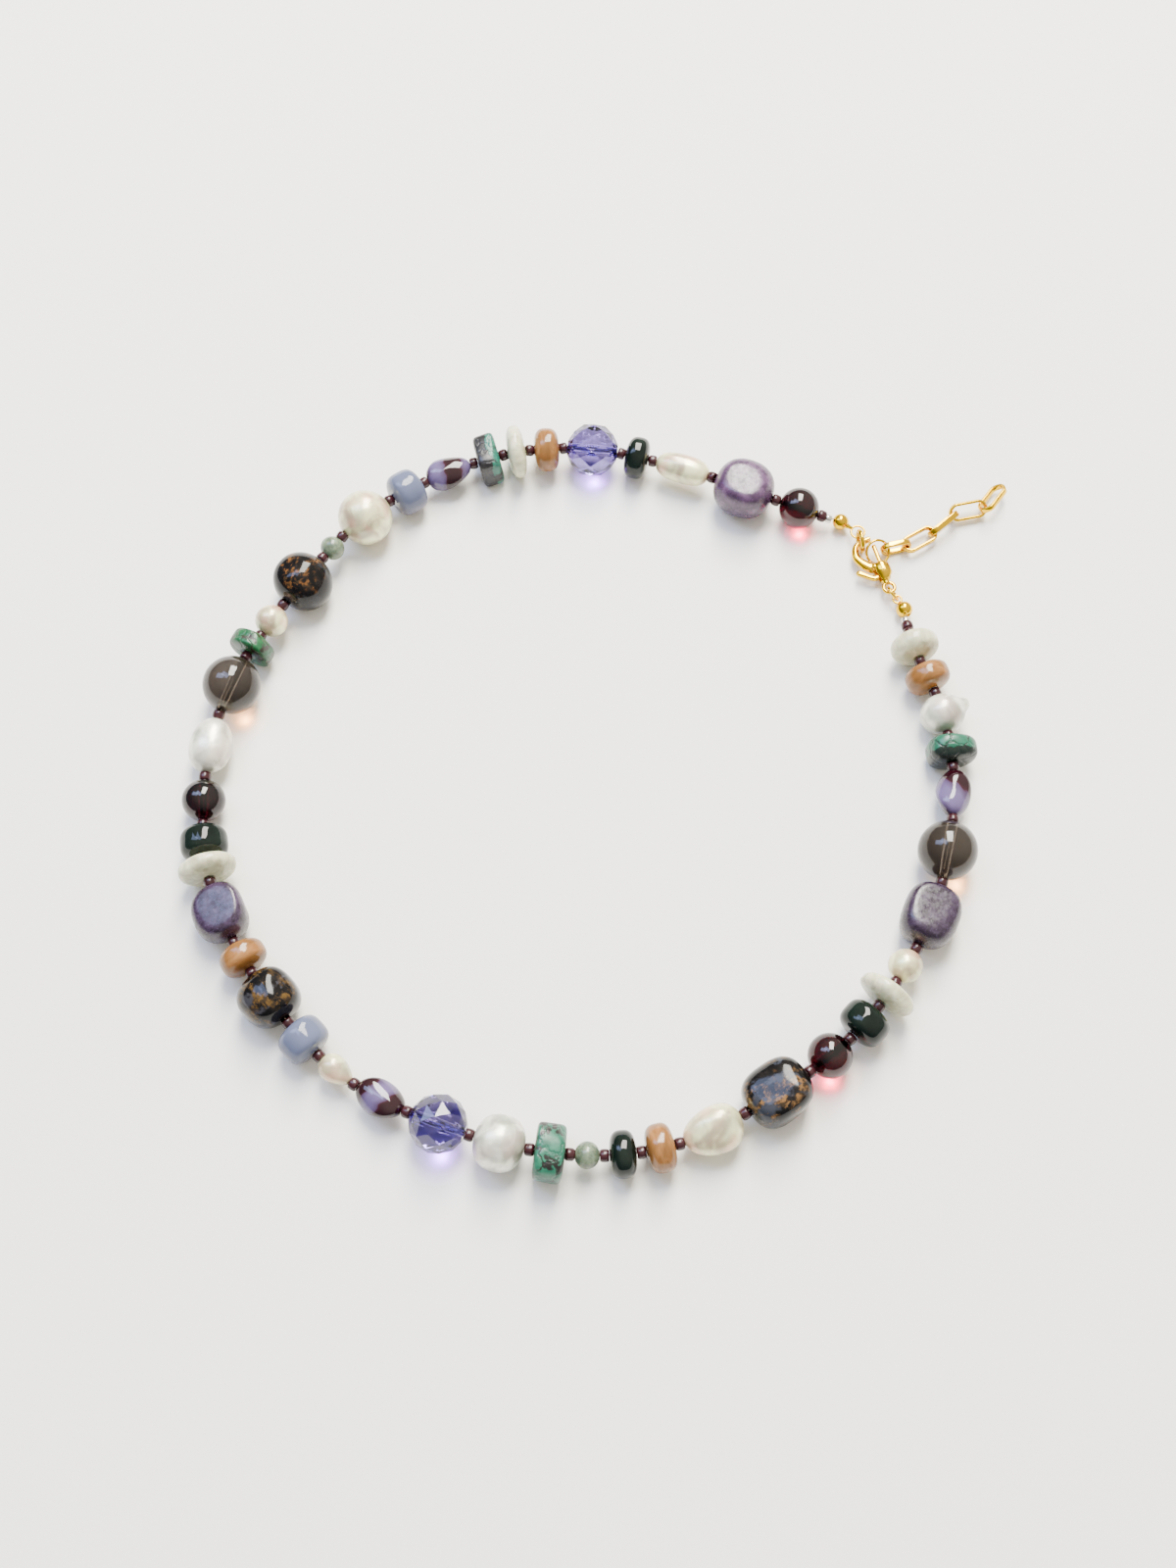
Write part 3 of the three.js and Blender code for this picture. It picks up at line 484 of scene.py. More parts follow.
violet = Finish("crystal_violet", Roughness=0.0, IOR=1.58, Transmission_Weight=1.0)
shade = violet.clouds(violet.spread("grain"), 0.12, 1)
violet.set("Base Color", violet.mix((0.12, 0.085, 0.31, 1), (0.2, 0.15, 0.45, 1), shade))
for name in ("crystal_1", "crystal_2"):
    corners, facets = cut_ball(9.3, 9.9)
    string_up(name, corners, violet.material, faces=facets)


# Glows. The clear stones gather the window's light and throw a small coloured glow on the paper
# just below them, on the side away from the window, wine-red, amber or violet.
def glow_below(name, radius, aside, colour, power):
    """A small coloured lamp between the paper and the near underside of a ball, seen only by what it
    lights: at 0.88 of the radius towards the viewer and 0.22 of it above the paper."""
    lamp = bpy.data.objects.new(f"glow_{name}", bpy.data.lights.new(f"glow_{name}", "POINT"))
    lamp.data.energy = power
    lamp.data.color = colour
    lamp.data.shadow_soft_size = 0.5 * MM
    lamp.visible_camera = lamp.visible_glossy = lamp.visible_transmission = False
    lamp.location = Vector((seats[name][0][0] + aside, seats[name][0][1] - 0.88 * radius, 0.22 * radius)) * MM
    bpy.context.collection.objects.link(lamp)


for name in ("garnet_1", "garnet_3"):
    glow_below(name, 3.8, 0.3, (1, 0.03, 0.1), 0.001)
for name in ("smoky_quartz_1", "smoky_quartz_2"):
    glow_below(name, 5.15, 2.0, (1, 0.42, 0.14), 0.0008)
for name in ("crystal_1", "crystal_2"):
    glow_below(name, 4.95, 0.4, (0.4, 0.16, 1), 0.0012)

# Dark green glass. Small wheels and short barrels, pressed and fire-polished, nearly black.
bottle = Finish("glass_dark_green", Roughness=0.04, Specular_IOR_Level=0.28)
cloud = bottle.clouds(bottle.spread("grain"), 0.3, 3, 0.55).between(0.35, 0.75)
bottle.set("Base Color", bottle.mix(tint(8, 26, 19), tint(34, 54, 43), cloud))
for name, long, wide, full in (("green_rondelle_1", 4.4, 7.8, 2.9), ("green_rondelle_2", 4.4, 7.8, 2.9),
                               ("green_barrel_1", 5.7, 8.2, 3.2), ("green_barrel_2", 5.7, 8.2, 3.2)):
    skin = bead_skin(long, wide, wide, full, uneven=0.01, seed=3)
    string_up(name, skin, bottle.material)

# Orange wheels. Translucent peach-brown agate with cloudy streaks and a soft polish.
amber = Finish("stone_orange", Roughness=0.12, Specular_IOR_Level=0.4, Subsurface_Weight=0.12,
               Subsurface_Scale=0.001)
streak = amber.clouds(amber.stretch(amber.spread("grain"), (0.5, 1.4, 0.5)), 0.5, 4, 0.55, 0.5)
amber.set("Base Color", amber.ramp(streak, (0.25, tint(166, 124, 54)), (0.5, tint(190, 152, 84)),
                                   (0.8, tint(210, 182, 128))))
for name in ("orange_rondelle_1", "orange_rondelle_2", "orange_rondelle_3", "orange_rondelle_4"):
    string_up(name, bead_skin(4.7, 8.1, 8.1, 3.0, uneven=0.02, seed=9), amber.material)

# White discs. Milky ivory-green stone, sawn thin and tumbled until the edge is round and uneven.
milk = Finish("stone_white", Roughness=0.16, Subsurface_Weight=0.25, Subsurface_Scale=0.002)
vein = milk.clouds(milk.stretch(milk.spread("grain"), (1, 0.4, 1)), 0.45, 4, 0.6, 0.8)
milk.set("Base Color", milk.ramp(vein, (0.3, tint(212, 211, 196)), (0.5, tint(221, 221, 209)),
                                 (0.75, tint(229, 229, 222))))
for name, long, wide, flats in (
    ("white_disc_1", 3.4, 10, ()),
    ("white_disc_2", 3.4, 10, [((-0.7, 0, 1), 0.5)]),
    ("white_disc_3", 3.4, 10, [((0.5, -0.6, 1), 0.5)]),
    ("white_rondelle", 4.6, 8.8, ()),
):
    skin = bead_skin(long, wide, wide, 2.6, uneven=0.035, seed=4)
    string_up(name, skin, milk.material, flats)


# Turquoise. Discs sawn from teal stone that brown and black seams run through.
def teal_stone(name, teal, pale, seam, dark, reach, way=1.0, rim=9.0):
    """Turquoise: mottled teal, crossed by thin broken seams, with dark rock over about the share reach
    and past a ragged line at rim millimetres along the bore, counted the way of the string or back."""
    stone = Finish(name, Roughness=0.3, Specular_IOR_Level=0.45)
    grain = stone.spread("grain")
    drift = stone.clouds(grain, 0.5, 4, 0.6)
    body = stone.mix(tint(*teal), tint(*pale), drift.between(0.35, 0.7))
    pull = stone.node("ShaderNodeTexNoise", {}, {"Vector": grain, "Scale": 0.6, "Detail": 4.0}, 1)
    pulled = {0: pull, 1: (2.5, 2.5, 2.5), 2: grain}
    bent = stone.node("ShaderNodeVectorMath", {"operation": "MULTIPLY_ADD"}, pulled)
    net = stone.cells(bent, 0.33, "DISTANCE_TO_EDGE")
    broken = stone.clouds(grain, 0.5, 3).between(0.42, 0.6)
    body = stone.mix(body, tint(*seam), (1 - net.between(0.01, 0.11)) * broken)
    rock = stone.clouds(grain, 0.24, 6, 0.62, 0.5).between(0.6 - reach, 0.65 - reach)
    ragged = stone.part(stone.spread("place"), "Y") * way + drift * 2.6 - 1.3
    rock = rock.sum("MAXIMUM", rock, ragged.between(rim, rim + 0.2))
    speck = stone.clouds(grain, 1.6, 3).between(0.55, 0.75) * 0.5
    ground = stone.mix(tint(*dark), tint(112, 108, 100), speck)
    stone.set("Base Color", stone.mix(body, ground, rock))
    stone.relief(net.between(0.0, 0.12) - rock * 0.5, 0.00012, 0.5)
    return stone.material


for name, size, stone, flats in (
    ("turquoise_1", dict(long=4.1, wide=7.8, tall=8, full=7, square=4.5, lobe=0.04),
     teal_stone("turquoise_grey", (44, 156, 138), (84, 184, 164), (50, 48, 44), (52, 50, 53), 0.07,
                way=1.0, rim=-0.5),
     [((0.6, 0, 1), 0.4)]),
    ("turquoise_2", dict(long=3.3, wide=7.8, tall=7.8, full=6, square=2.2, lobe=0.04),
     teal_stone("turquoise_green", (36, 134, 82), (66, 164, 104), (84, 66, 44), (66, 54, 40), 0.03),
     [((1, 0.3, 0.5), 0.7)]),
    ("turquoise_3", dict(long=4.9, wide=9.2, tall=9.4, full=8, square=3, lobe=0.03),
     teal_stone("turquoise_teal", (46, 148, 120), (76, 178, 150), (62, 50, 42), (46, 46, 40), 0.06),
     [((0.7, 0.5, 0.6), 0.8)]),
    ("turquoise_4", dict(long=4.4, wide=8.5, tall=8.4, full=4, square=2.4, lobe=0.04),
     teal_stone("turquoise_edged", (42, 146, 116), (66, 166, 136), (40, 44, 38), (30, 56, 46), 0.02,
                way=-1.0, rim=0.6),
     [((0, -0.6, 1), 0.6)]),
):
    string_up(name, bead_skin(uneven=0.04, seed=6, lobes=3, **size), stone, flats)


# Twisted glass. Flattened ovals of wine-red and lilac rods, wound together while soft.
def wound_glass(name, moved, pitch, lilac):
    """Two colours in bands across the bore: lilac times the cosine of (place along the bore + moved)
    times pitch, bent by a slow swirl and streaked lengthwise; wine where it is low, lilac where high."""
    glass = Finish(name, Roughness=0.04, Specular_IOR_Level=0.5)
    own = glass.spread("place")
    level, along = glass.part(own, "X"), glass.part(own, "Y")
    swirl = glass.clouds(glass.spread("grain"), 0.16, 1, 0.5)
    turn = (along + moved) * pitch + level * 0.3 + swirl * 1.2 - 0.6
    streak = level * 3.4 + along * 0.9
    bands = turn.sum("COSINE", turn) * lilac + streak.sum("SINE", streak) * 0.06 + 0.5
    glass.set("Base Color", glass.ramp(bands, (0.3, tint(60, 12, 24)), (0.42, tint(92, 26, 46)),
                                       (0.5, tint(130, 104, 142)), (0.85, tint(160, 144, 182))))
    return glass.material


for name, moved, pitch, lilac in (("twist_glass_1", 1.1, 0.9, -0.42), ("twist_glass_2", 0.4, 0.9, 0.42),
                                  ("twist_glass_3", 1.8, 0.6, 0.42)):
    glass = wound_glass(name.replace("twist_glass", "glass_twist"), moved, pitch, lilac)
    string_up(name, bead_skin(8.5, 6.2, 4.6, 2.3, square=1.7, twist=100), glass)

# Periwinkle barrels. Opaque blue glass drums, with painted light: lilac underneath and bluer on top.
blue = Finish("glass_periwinkle", Roughness=0.08, Specular_IOR_Level=0.35)
drift = blue.clouds(blue.spread("grain"), 0.3, 3)
# Painted light: the colour turns by height in the bead, from lilac underneath to blue on top.
rise = (blue.part(blue.spread("place"), "Z") + drift * 3.0).between(-1.5, 4.0)
blue.set("Base Color", blue.mix(tint(164, 154, 170), tint(154, 161, 182), rise))
for name in ("blue_barrel_1", "blue_barrel_2"):
    string_up(name, bead_skin(5.9, 8.2, 8.2, 3.4, uneven=0.012, seed=2), blue.material)

# Jade. Two small sage-green balls with a waxy polish.
sage = Finish("jade_sage", Roughness=0.22, Subsurface_Weight=0.2, Subsurface_Scale=0.001)
mottle = sage.clouds(sage.spread("grain"), 0.8, 3, 0.6)
sage.set("Base Color", sage.mix(tint(140, 156, 134), tint(182, 192, 172), mottle.between(0.3, 0.7)))
for name in ("jade_1", "jade_2"):
    string_up(name, bead_skin(4, 4.5, 4.5, uneven=0.012), sage.material)


# Bronzite. Tumbled nuggets of black-brown stone with patches of bronze and grey in it.
def flaky(name, turn, flash, grey, reach):
    """Bronzite: near-black ground with crumbs of bronze in drifts over the share reach, and grey clouds."""
    stone = Finish(name, Specular_IOR_Level=0.24)
    grain = stone.spread("grain")
    lie = stone.stretch(grain, (1.1, 0.7, 1.0), turn)
    crumb = stone.clouds(lie, 0.55, 6, 0.66, 0.6).between(0.48, 0.56)
    zone = stone.clouds(grain, 0.17, 2, 0.5).between(0.56 - reach, 0.66 - reach)
    haze = stone.clouds(stone.stretch(grain, (1, 1, 1), move=(5, 8, 3)), 0.16, 4, 0.6, 0.4).between(0.54, 0.6)
    murk = stone.clouds(grain, 0.5, 5, 0.65).between(0.45, 0.7)
    ground = stone.mix(tint(18, 16, 17), tint(50, 44, 42), murk)
    ground = stone.mix(ground, tint(*grey), haze * 0.8)
    rust = stone.mix(tint(*flash), tint(86, 66, 42), stone.clouds(grain, 1.3, 4).between(0.36, 0.6))
    stone.set("Base Color", stone.mix(ground, rust, crumb * zone))
    stone.set("Roughness", 0.11 - crumb * 0.03)
    return stone.material


for name, size, stone, flats in (
    ("bronzite_1", dict(long=10, wide=10.7, tall=10.2, full=2.2, square=2.2, lobes=3, lobe=0.03),
     flaky("bronzite_orange", (0.3, 0.2, 0.6), (170, 124, 62), (70, 72, 80), 0.08), [((-0.5, 0.2, 1), 0.5)]),
    ("bronzite_2", dict(long=9.2, wide=9.8, tall=9.8, full=2.6, square=2.4, lobes=3, lobe=0.05),
     flaky("bronzite_gold", (0.1, 0.5, 1.2), (150, 118, 56), (108, 106, 114), 0.13), [((0.5, 0.3, 1), 0.2)]),
    ("bronzite_3", dict(long=11.2, wide=9.6, tall=9.6, full=2.8, square=2.6, lobes=2, lobe=0.04),
     flaky("bronzite_banded", (0.5, 0.1, 0.3), (178, 146, 92), (96, 102, 116), 0.1), [((-0.16, 0, 1), 0.7)]),
):
    string_up(name, bead_skin(uneven=0.06, seed=11, **size), stone, flats)


# Lepidolite. Tumbled nuggets of lilac mica rock, mottled purple and grey, with one face worn flat.
def mica_rock(name, deep, mid, pale):
    """Lepidolite: three purples in clouds, with darker veins and small pale flakes of mica."""
    stone = Finish(name, Specular_IOR_Level=0.5)
    grain = stone.spread("grain")
    cloud = stone.clouds(grain, 0.36, 6, 0.62, 0.8)
    body = stone.ramp(cloud, (0.34, tint(*deep)), (0.5, tint(*mid)), (0.66, tint(*pale)))
    vein = stone.clouds(stone.stretch(grain, (1, 1, 1), move=(4, 1, 7)), 0.3, 5, 0.6, 1.2)
    body = stone.mix(body, tint(*deep), (1 - vein.between(0.4, 0.5)) * 0.7)
    fleck = stone.cells(grain, 2.4)
    body = stone.mix(body, tint(176, 164, 192), (1 - fleck.between(0.08, 0.26)) * 0.35)
    stone.set("Base Color", body)
    stone.set("Roughness", stone.clouds(grain, 1.4, 3).between(0.2, 0.9) * 0.3 + 0.16)
    stone.relief(stone.clouds(grain, 1.0, 5, 0.6), 0.00012, 0.4)
    return stone.material


for name, size, stone, flats in (
    ("lepidolite_1", dict(long=11, wide=10.9, tall=10, full=2.3, square=2.1, lobes=3, lobe=0.03),
     mica_rock("lepidolite_pale", (102, 67, 108), (136, 97, 140), (166, 133, 168)), [((0.0, 0.03, 1), 1.1)]),
    ("lepidolite_2", dict(long=10, wide=9, tall=9.4, full=2.5, square=2.3, lobes=3, lobe=0.05),
     mica_rock("lepidolite_purple", (56, 32, 58), (97, 67, 107), (129, 104, 139)),
     [((-0.25, -0.02, 1), 1.3)]),
    ("lepidolite_3", dict(long=11, wide=9.3, tall=9.6, full=2.7, square=2.4, lobes=2, lobe=0.04),
     mica_rock("lepidolite_dark", (50, 30, 52), (86, 58, 94), (122, 102, 130)), [((0.1, 0.1, 1), 1.2)]),
):
    string_up(name, bead_skin(uneven=0.05, seed=8, **size), stone, flats)

# Seed beads. Tiny drawn-glass rings of dark burgundy, one in each gap and a few at the tail end.
SEED_WIDE = 2.15
SEED_LONG = 1.5
SEED_BORE = 0.6
burgundy = Finish("seed_burgundy", Roughness=0.22, Specular_IOR_Level=0.4)
smoke = burgundy.clouds(burgundy.spread("grain"), 0.9)
burgundy.set("Base Color", burgundy.mix(tint(72, 22, 32), tint(112, 46, 56), smoke))


def ends(name):
    """The two bore ends of a bead, in millimetres, in string order."""
    middle, turned, long = seats[name]
    return middle - turned[1] * long / 2, middle + turned[1] * long / 2


def bowed(part):
    """A sine or cosine pushed towards 1 and -1, which turns a round section into a squarer one."""
    return np.sign(part) * np.abs(part) ** 0.7


def small_bead(label, middle, way, material, shift, long=SEED_LONG, wide=SEED_WIDE):
    """A short ring-shaped bead on the thread: a squarish round tube wall turned about the bore."""
    angle = np.linspace(0, 2 * np.pi, 14, endpoint=False)[:, None]
    around = np.linspace(0, 2 * np.pi, 22, endpoint=False)
    wall = (wide / 2 - SEED_BORE / 2) / 2
    radius, along = wide / 2 - wall + wall * bowed(np.cos(angle)), long / 2 * bowed(np.sin(angle))
    skin = np.stack([radius * np.cos(around), along * np.ones(22), radius * np.sin(around)], axis=-1)
    level = unit(np.cross(way, [0, 0, 1]))
    turned = np.array([level, way, np.cross(level, way)])
    on_string(label, skin[::-1], material, (middle, turned, long), shift)


for place in range(len(ORDER) - 1):
    if ORDER[place] == "green_barrel_1":  # the white disc after it touches it
        continue
    near, far = ends(ORDER[place])[1], ends(ORDER[place + 1])[0]
    small_bead(f"seed_{place + 1}", (near + far) / 2, unit(far - near), burgundy.material, place)

# Crimps. At each end a thin silvery tube is pressed round the thread beside the seed beads, before
# the thread enters its ball tip.
crimp = Finish("crimp_silver", Metallic=1.0, Roughness=0.22)
tarnish = crimp.clouds(crimp.spread("grain"), 0.8)
crimp.set("Base Color", crimp.mix((0.5, 0.47, 0.42, 1), (0.8, 0.78, 0.72, 1), tarnish))
CRIMP_LONG, CRIMP_WIDE = 1.1, 1.5
tails = {"first": (ends(ORDER[0])[0], ball_first), "second": (ends(ORDER[-1])[1], ball_second)}
for label, tail, far in (("seed_0", "first", 0.85), ("seed_45", "second", 0.9), ("seed_46", "second", 2.5)):
    end, ball = tails[tail]
    small_bead(label, end + unit(ball - end) * far, unit(ball - end), burgundy.material, 1)
for tail, far in (("first", 2.2), ("second", 3.95)):
    end, ball = tails[tail]
    small_bead(f"crimp_{tail}", end + unit(ball - end) * far, unit(ball - end), crimp.material, 1,
               CRIMP_LONG, CRIMP_WIDE)

# Gold. Cast and wire-bent brass findings with a bright gilt finish.
gilt = Finish("gilt_brass", Metallic=1.0)
wear = gilt.clouds(gilt.object_place(), 700, 3)
gilt.set("Base Color", gilt.mix((0.67, 0.38, 0.002, 1), (0.84, 0.53, 0.009, 1), wear))
gilt.set("Roughness", 0.08 + wear * 0.1)


def axes_of(points):
    """Middle of a solid's points, and its own directions from the longest to the shortest."""
    middle = points.mean(axis=0)
    axes = np.linalg.svd(points - middle, full_matrices=False)[2]
    axes[2] = np.cross(axes[0], axes[1])
    return middle, axes


def oval(wide, tall, square=2.0, sides=16):
    """Points round a wire's section: an oval, or a rounded oblong as square rises above 2."""
    angle = np.linspace(0, 2 * np.pi, sides, endpoint=False)
    bent = [np.sign(f(angle)) * np.abs(f(angle)) ** (2 / square) for f in (np.cos, np.sin)]
    return np.column_stack([wide / 2 * bent[0], tall / 2 * bent[1]])


def bent_wire(path, normal, section, closed, size=None):
    """A section carried along a flat path: its first measure points outwards in the path's plane and
    its second along the plane's normal; size swells or shrinks it from point to point."""
    ahead = np.roll(path, -1, axis=0) - np.roll(path, 1, axis=0)
    if not closed:
        ahead[0], ahead[-1] = path[1] - path[0], path[-1] - path[-2]
    outward = unit(np.cross(ahead, normal))
    size = np.ones((len(path), 2)) if size is None else size
    grown = section[None] * size[:, None]
    return path[:, None] + grown[..., :1] * outward[:, None] + grown[..., 1:] * np.asarray(normal, float)


def cast(name, grids, body, nodes):
    """Joins grids of points in millimetres into one gilt piece on a body, in place of plain solids."""
    points, faces, count = [], [], 0
    for grid, closed in grids:
        quads = grid_faces(grid.shape[0], grid.shape[1], closed)
        flat = grid.reshape(-1, 3)
        a, b, c, d = (flat[quads[:, i]] - flat.mean(axis=0) for i in range(4))
        if (np.cross(a, b) * c).sum() + (np.cross(a, c) * d).sum() < 0:
            quads = quads[:, ::-1]
        points.append(flat)
        faces.append(quads + count)
        count += len(flat)
    piece = sheet_of(name, np.vstack(points) * MM, np.vstack(faces), gilt.material)
    shell = bmesh.new()
    shell.from_mesh(piece.data)
    bmesh.ops.remove_doubles(shell, verts=shell.verts, dist=1e-7)
    shell.to_mesh(piece.data)
    shell.free()
    piece.data.shade_smooth()
    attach(piece, body)
    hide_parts(*nodes)
    return piece


def hoop(middle, first, second, outer, wire, points=96):
    """A round wire ring: the section carried round a circle in the plane of two directions."""
    angle = np.linspace(0, 2 * np.pi, points, endpoint=False)[:, None]
    path = middle + (outer - wire) / 2 * (np.cos(angle) * first + np.sin(angle) * second)
    return bent_wire(path, np.cross(first, second), oval(wire, wire), True)


def lathe(outline, middle, axes, sides=36):
    """An outline of (radius, along) points turned about the second of three directions."""
    around = np.linspace(0, 2 * np.pi, sides, endpoint=False)[None, :, None]
    radius, along = outline[:, None, :1], outline[:, None, 1:]
    return middle + radius * (np.cos(around) * axes[0] + np.sin(around) * axes[2]) + along * axes[1]


# Jump rings. Round wire bent to a ring, its two ends pressed together but not soldered.
RINGS_OF_WIRE = (("jump_ring_hook", 4.6, 0.8), ("jump_ring_chain", 4.9, 0.5), ("jump_ring_eye", 3.3, 0.5))
for node, outer, wire in RINGS_OF_WIRE:
    middle, axes = axes_of(points_of(node))
    ring = hoop(middle, axes[0], axes[1], outer, wire)
    cast(f"{node}_wire", [(ring, True)], BODY, [node])

# Extender chain. Long oval links of flat wire, each closed through its neighbours.
LINK_WIDE, LINK_WALL, LINK_RIBBON = 3.4, 0.56, 1.1
for number, long in ((1, 5.9), (2, 7.4), (3, 7.4), (4, 7.4), (5, 7.4)):
    middle, axes = axes_of(points_of(f"chain_link_{number}"))
    bend, straight = (LINK_WIDE - LINK_WALL) / 2, (long - LINK_WIDE) / 2
    angle = np.linspace(-np.pi / 2, np.pi / 2, 28)
    turn = np.column_stack([straight + bend * np.cos(angle), bend * np.sin(angle)])
    turn[:, 1] = np.sign(turn[:, 1]) * bend * np.abs(np.sin(angle)) ** 1.25
    flat = np.vstack([turn, -turn])
    path = middle + flat[:, :1] * axes[0] + flat[:, 1:] * axes[1]
    link = bent_wire(path, axes[2], oval(LINK_WALL, LINK_RIBBON, 4.0), True)
    cast(f"chain_link_{number}_wire", [(link, True)], BODY, [f"chain_link_{number}"])

# Ball tips. A drilled ball hides the thread's knot; its neck and loop are soldered on.
BALL_RADIUS, TIP_WIRE = 1.5, 0.4
for node, loop_outer, neck in (("ball_tip_first", 2.9, 1.0), ("ball_tip_second", 1.9, 0.1)):
    points = points_of(node)
    middle, axes = axes_of(points)
    ahead = (points - middle) @ axes[0] > 0
    way = axes[0] if np.ptp((points - middle)[ahead] @ axes[2]) > 2.2 else -axes[0]
    ball = middle + way * (((points - middle) @ way).max() - 1.375)
    frame_of = (np.cross(way, axes[2]), way, axes[2])
    angle = np.linspace(0, np.pi - np.arcsin(0.4), 30)
    outline = BALL_RADIUS * np.column_stack([np.sin(angle), -np.cos(angle)])
    outline = np.vstack([outline, [[0.55, 1.2], [0.5, 0.4], [0.0, 0.3]]])
    reach = BALL_RADIUS + neck + (loop_outer - TIP_WIRE) / 2
    stem = np.array([[0, -1.1], [0.6, -1.2], [0.5, -1.5], [0.36, -1.5], [0.3, -1.6], [0, -1.65]])
    stem[3:, 1] -= neck * np.array([0.5, 0.9, 1])
    loop = hoop(ball - way * reach, way, frame_of[0], loop_outer, TIP_WIRE, 72)
    turned = [(lathe(outline, ball, frame_of), False), (lathe(stem, ball, frame_of, 20), False)]
    cast(f"{node}_gilt", [*turned, (loop, True)], BODY, [node])

# Clasp. A cast lobster claw: eye, swelling body split by a slot, and a hook that bends round to
# meet the lever, which turns on a riveted pin and is pushed shut by a spring inside the body.
CLASP_TURN = np.radians(23)
across = np.array([np.cos(CLASP_TURN), np.sin(CLASP_TURN), 0])
along = np.array([-np.sin(CLASP_TURN), np.cos(CLASP_TURN), 0])
up = np.array([0.0, 0.0, 1.0])
CLASP_EYE = np.array(frame["joints"][0]["pos_m"]) / MM - 0.5 * across - 3.2 * along
SLOT, FRONT, SLOT_START = 0.75, 5.2, 1.6


def in_clasp(grid):
    """Moves a grid from the clasp's own frame (across, along, up) to where the clasp lies."""
    return CLASP_EYE + grid[..., :1] * across + grid[..., 1:2] * along + grid[..., 2:] * up


def swell(reach):
    """Radius of the clasp's body and how far its middle is moved across, at a distance from the eye."""
    knots = [0.9, 1.3, 1.7, 2.1, 2.7, 3.4, 4.2, 4.8, 5.1, FRONT]
    radii = [0.62, 0.66, 1.05, 1.32, 1.5, 1.6, 1.57, 1.47, 1.3, 1.15]
    return np.interp(reach, knots, radii), 0.45 * np.clip((reach - 1.3) / 1.17, 0, 1)


def smooth_path(knots, points=60):
    """A smooth curve through knots in a plane, by a Catmull-Rom spline."""
    knots = np.asarray(knots, float)
    knots = np.vstack([2 * knots[0] - knots[1], knots, 2 * knots[-1] - knots[-2]])
    place = np.linspace(1, len(knots) - 2 - 1e-9, points)
    index = place.astype(int)
    share = (place - index)[:, None]
    p0, p1, p2, p3 = (knots[index + step] for step in (-1, 0, 1, 2))
    bend = 2 * p0 - 5 * p1 + 4 * p2 - p3 + share * (3 * (p1 - p2) + p3 - p0)
    curve = p1 + 0.5 * share * (p2 - p0 + share * bend)
    return np.column_stack([curve, np.zeros(points)])


def rounded(points, reach=5):
    """Sizes along a wire that shrink to nothing over the last few points at both ends."""
    step = np.minimum(np.arange(points), np.arange(points)[::-1]) / reach
    size = np.sqrt(np.clip(1 - (1 - np.clip(step, 0, 1)) ** 2, 0, 1))
    return np.column_stack([size, size])


rear = np.linspace(0.9, SLOT_START, 14)
radius, moved = swell(rear)
around = np.linspace(0, 2 * np.pi, 40, endpoint=False)
barrel = np.stack([moved[:, None] + radius[:, None] * np.cos(around),
                   np.broadcast_to(rear[:, None], (14, 40)), radius[:, None] * np.sin(around)], axis=-1)
barrel = np.concatenate([barrel[:1] * [0, 1, 0], barrel, barrel[-1:] * [0, 1, 0] + [0.3, 0, 0]])
grids = [(barrel, False)]
fore = np.linspace(SLOT_START - 0.08, FRONT, 24)
radius, moved = swell(fore)
for side in (1, -1):
    low = np.arcsin(SLOT / radius)[:, None]
    share = np.linspace(0, 1, 26)[None]
    angle = low + share * (np.pi - 2 * low)
    arc = np.stack([moved[:, None] + radius[:, None] * np.cos(angle),
                    np.broadcast_to(fore[:, None], angle.shape), side * radius[:, None] * np.sin(angle)], -1)
    share = np.linspace(0, 1, 12)[None, 1:-1, None]
    chord = arc[:, -1:] * (1 - share) + arc[:, :1] * share
    cheek = np.concatenate([arc, chord], axis=1)
    caps = [cheek[end].mean(axis=0) * np.ones((1, cheek.shape[1], 1)) for end in (0, -1)]
    grids.append((np.concatenate([caps[0], cheek, caps[1]]), False))
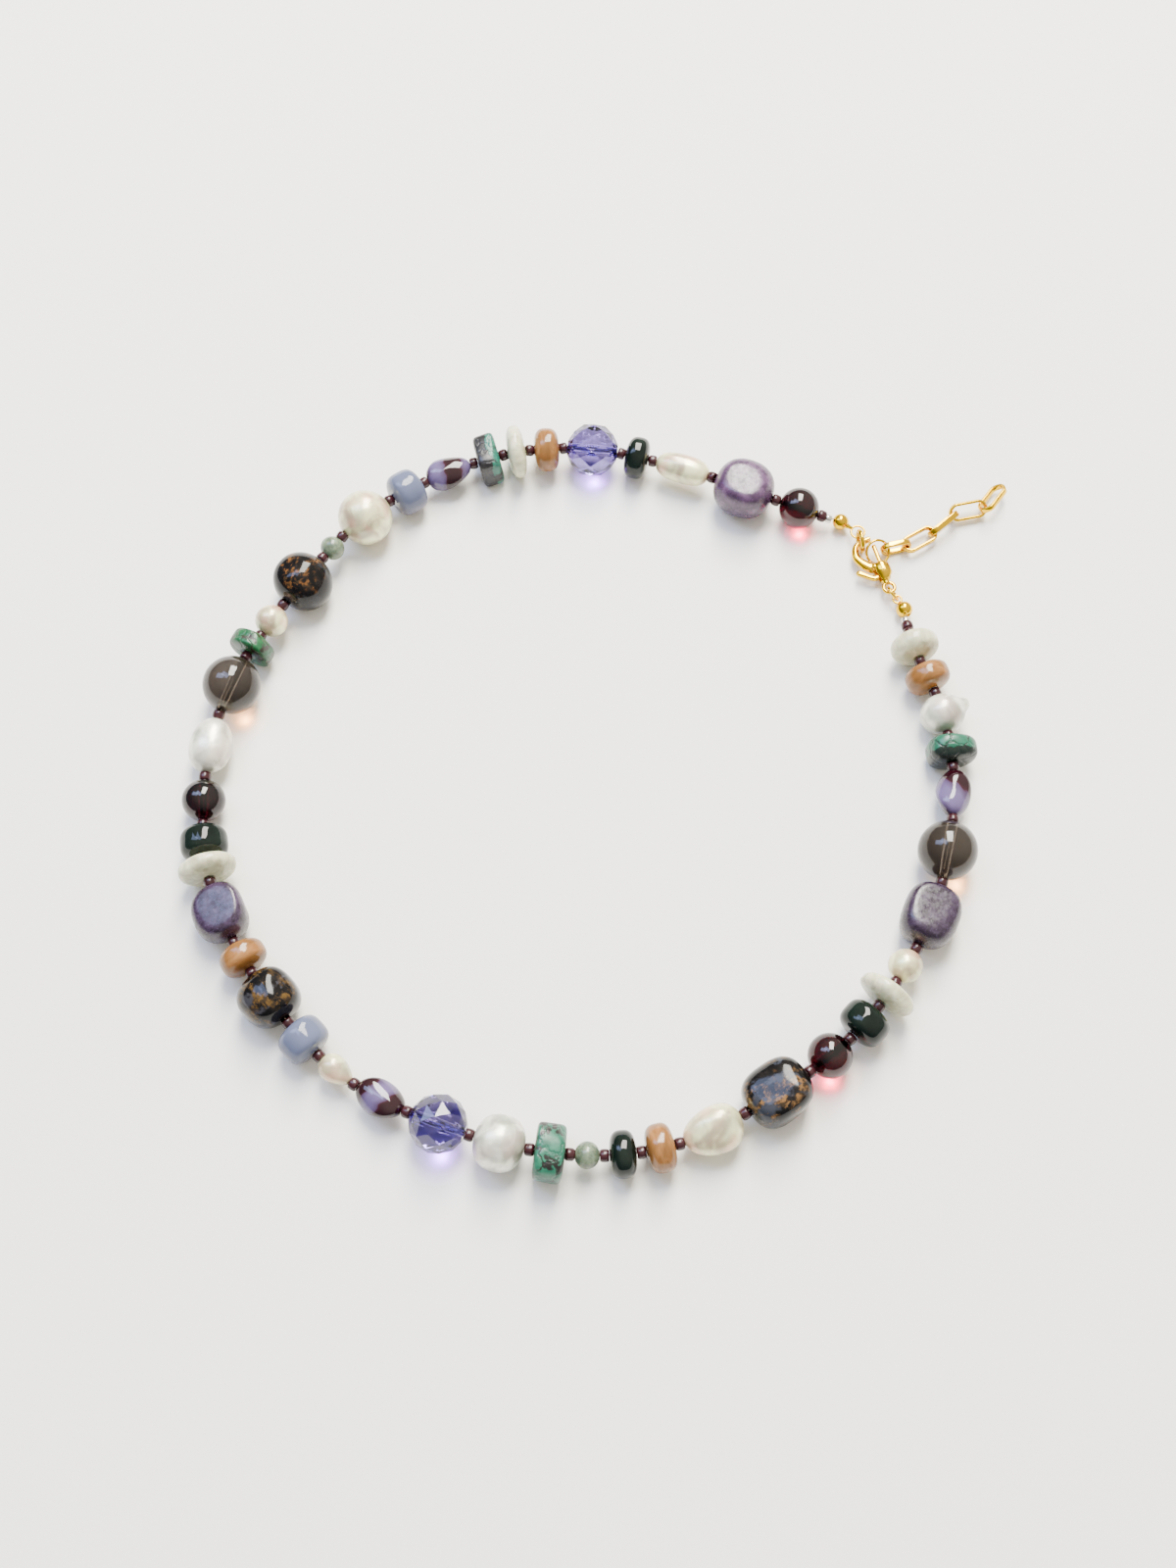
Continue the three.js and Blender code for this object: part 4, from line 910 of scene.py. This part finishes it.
arm = smooth_path([(-0.51, 4.3), (-1.79, 5.6), (-2.8, 7.75), (-2.18, 9.6), (-0.9, 10.3), (0.7, 10.45),
                   (1.3, 10.4)])
broad = np.interp(np.arange(60), [0, 10, 24, 59], [2.0, 1.7, 1.1, 1])
arm_size = rounded(60) * np.column_stack([broad, np.ones(60)])
grids.append((bent_wire(arm, up, oval(1.15, 1.35), False, arm_size), False))
grids = [(in_clasp(grid), closed) for grid, closed in grids]
root = np.array([[0, -0.6], [0.5, -0.6], [0.62, -0.3], [0.62, 0.3], [0.5, 0.6], [0, 0.6]]) * [1, 1.9]
grids.append((lathe(root, in_clasp(np.array([-0.75, 4.6, 0.0])), (across, up, along), 20), False))
rivet = np.array([[0, -1.62], [0.25, -1.6], [0.36, -1.5], [0.3, -1.4],
                  [0.3, 1.4], [0.36, 1.5], [0.25, 1.6], [0, 1.62]])
grids.append((lathe(rivet, in_clasp(np.array([0.5, 3.2, 0.0])), (across, up, along), 20), False))
grids.append((hoop(CLASP_EYE, across, along, 2.7, 0.7), True))
cast("clasp_body_cast", grids, BODY, ["clasp_body"])

gate = smooth_path([(1.2, 9.12), (1.1, 8.0), (0.8, 5.6), (0.5, 3.2)], 40)
tab = smooth_path([(0.5, 3.2), (-1.2, 2.62), (-1.9, 2.85), (-3.0, 3.95), (-4.2, 5.2)], 40)
broad = np.interp(np.arange(40), [0, 12, 20, 39], [1.2, 0.9, 0.85, 1.25])
flare = rounded(40) * np.column_stack([broad, np.ones(40)])
disc = np.array([[0, -0.45], [0.85, -0.45], [0.95, -0.38], [0.95, 0.38], [0.85, 0.45], [0, 0.45]])
grids = [(in_clasp(bent_wire(gate, up, oval(0.75, 0.9, 3.0), False, rounded(40, 3))), False),
         (in_clasp(bent_wire(tab, up, oval(0.95, 0.9, 3.0), False, flare)), False),
         (lathe(disc, in_clasp(np.array([0.5, 3.2, 0.0])), (across, up, along), 28), False)]
cast("clasp_lever_cast", grids, "lever", ["clasp_lever"])
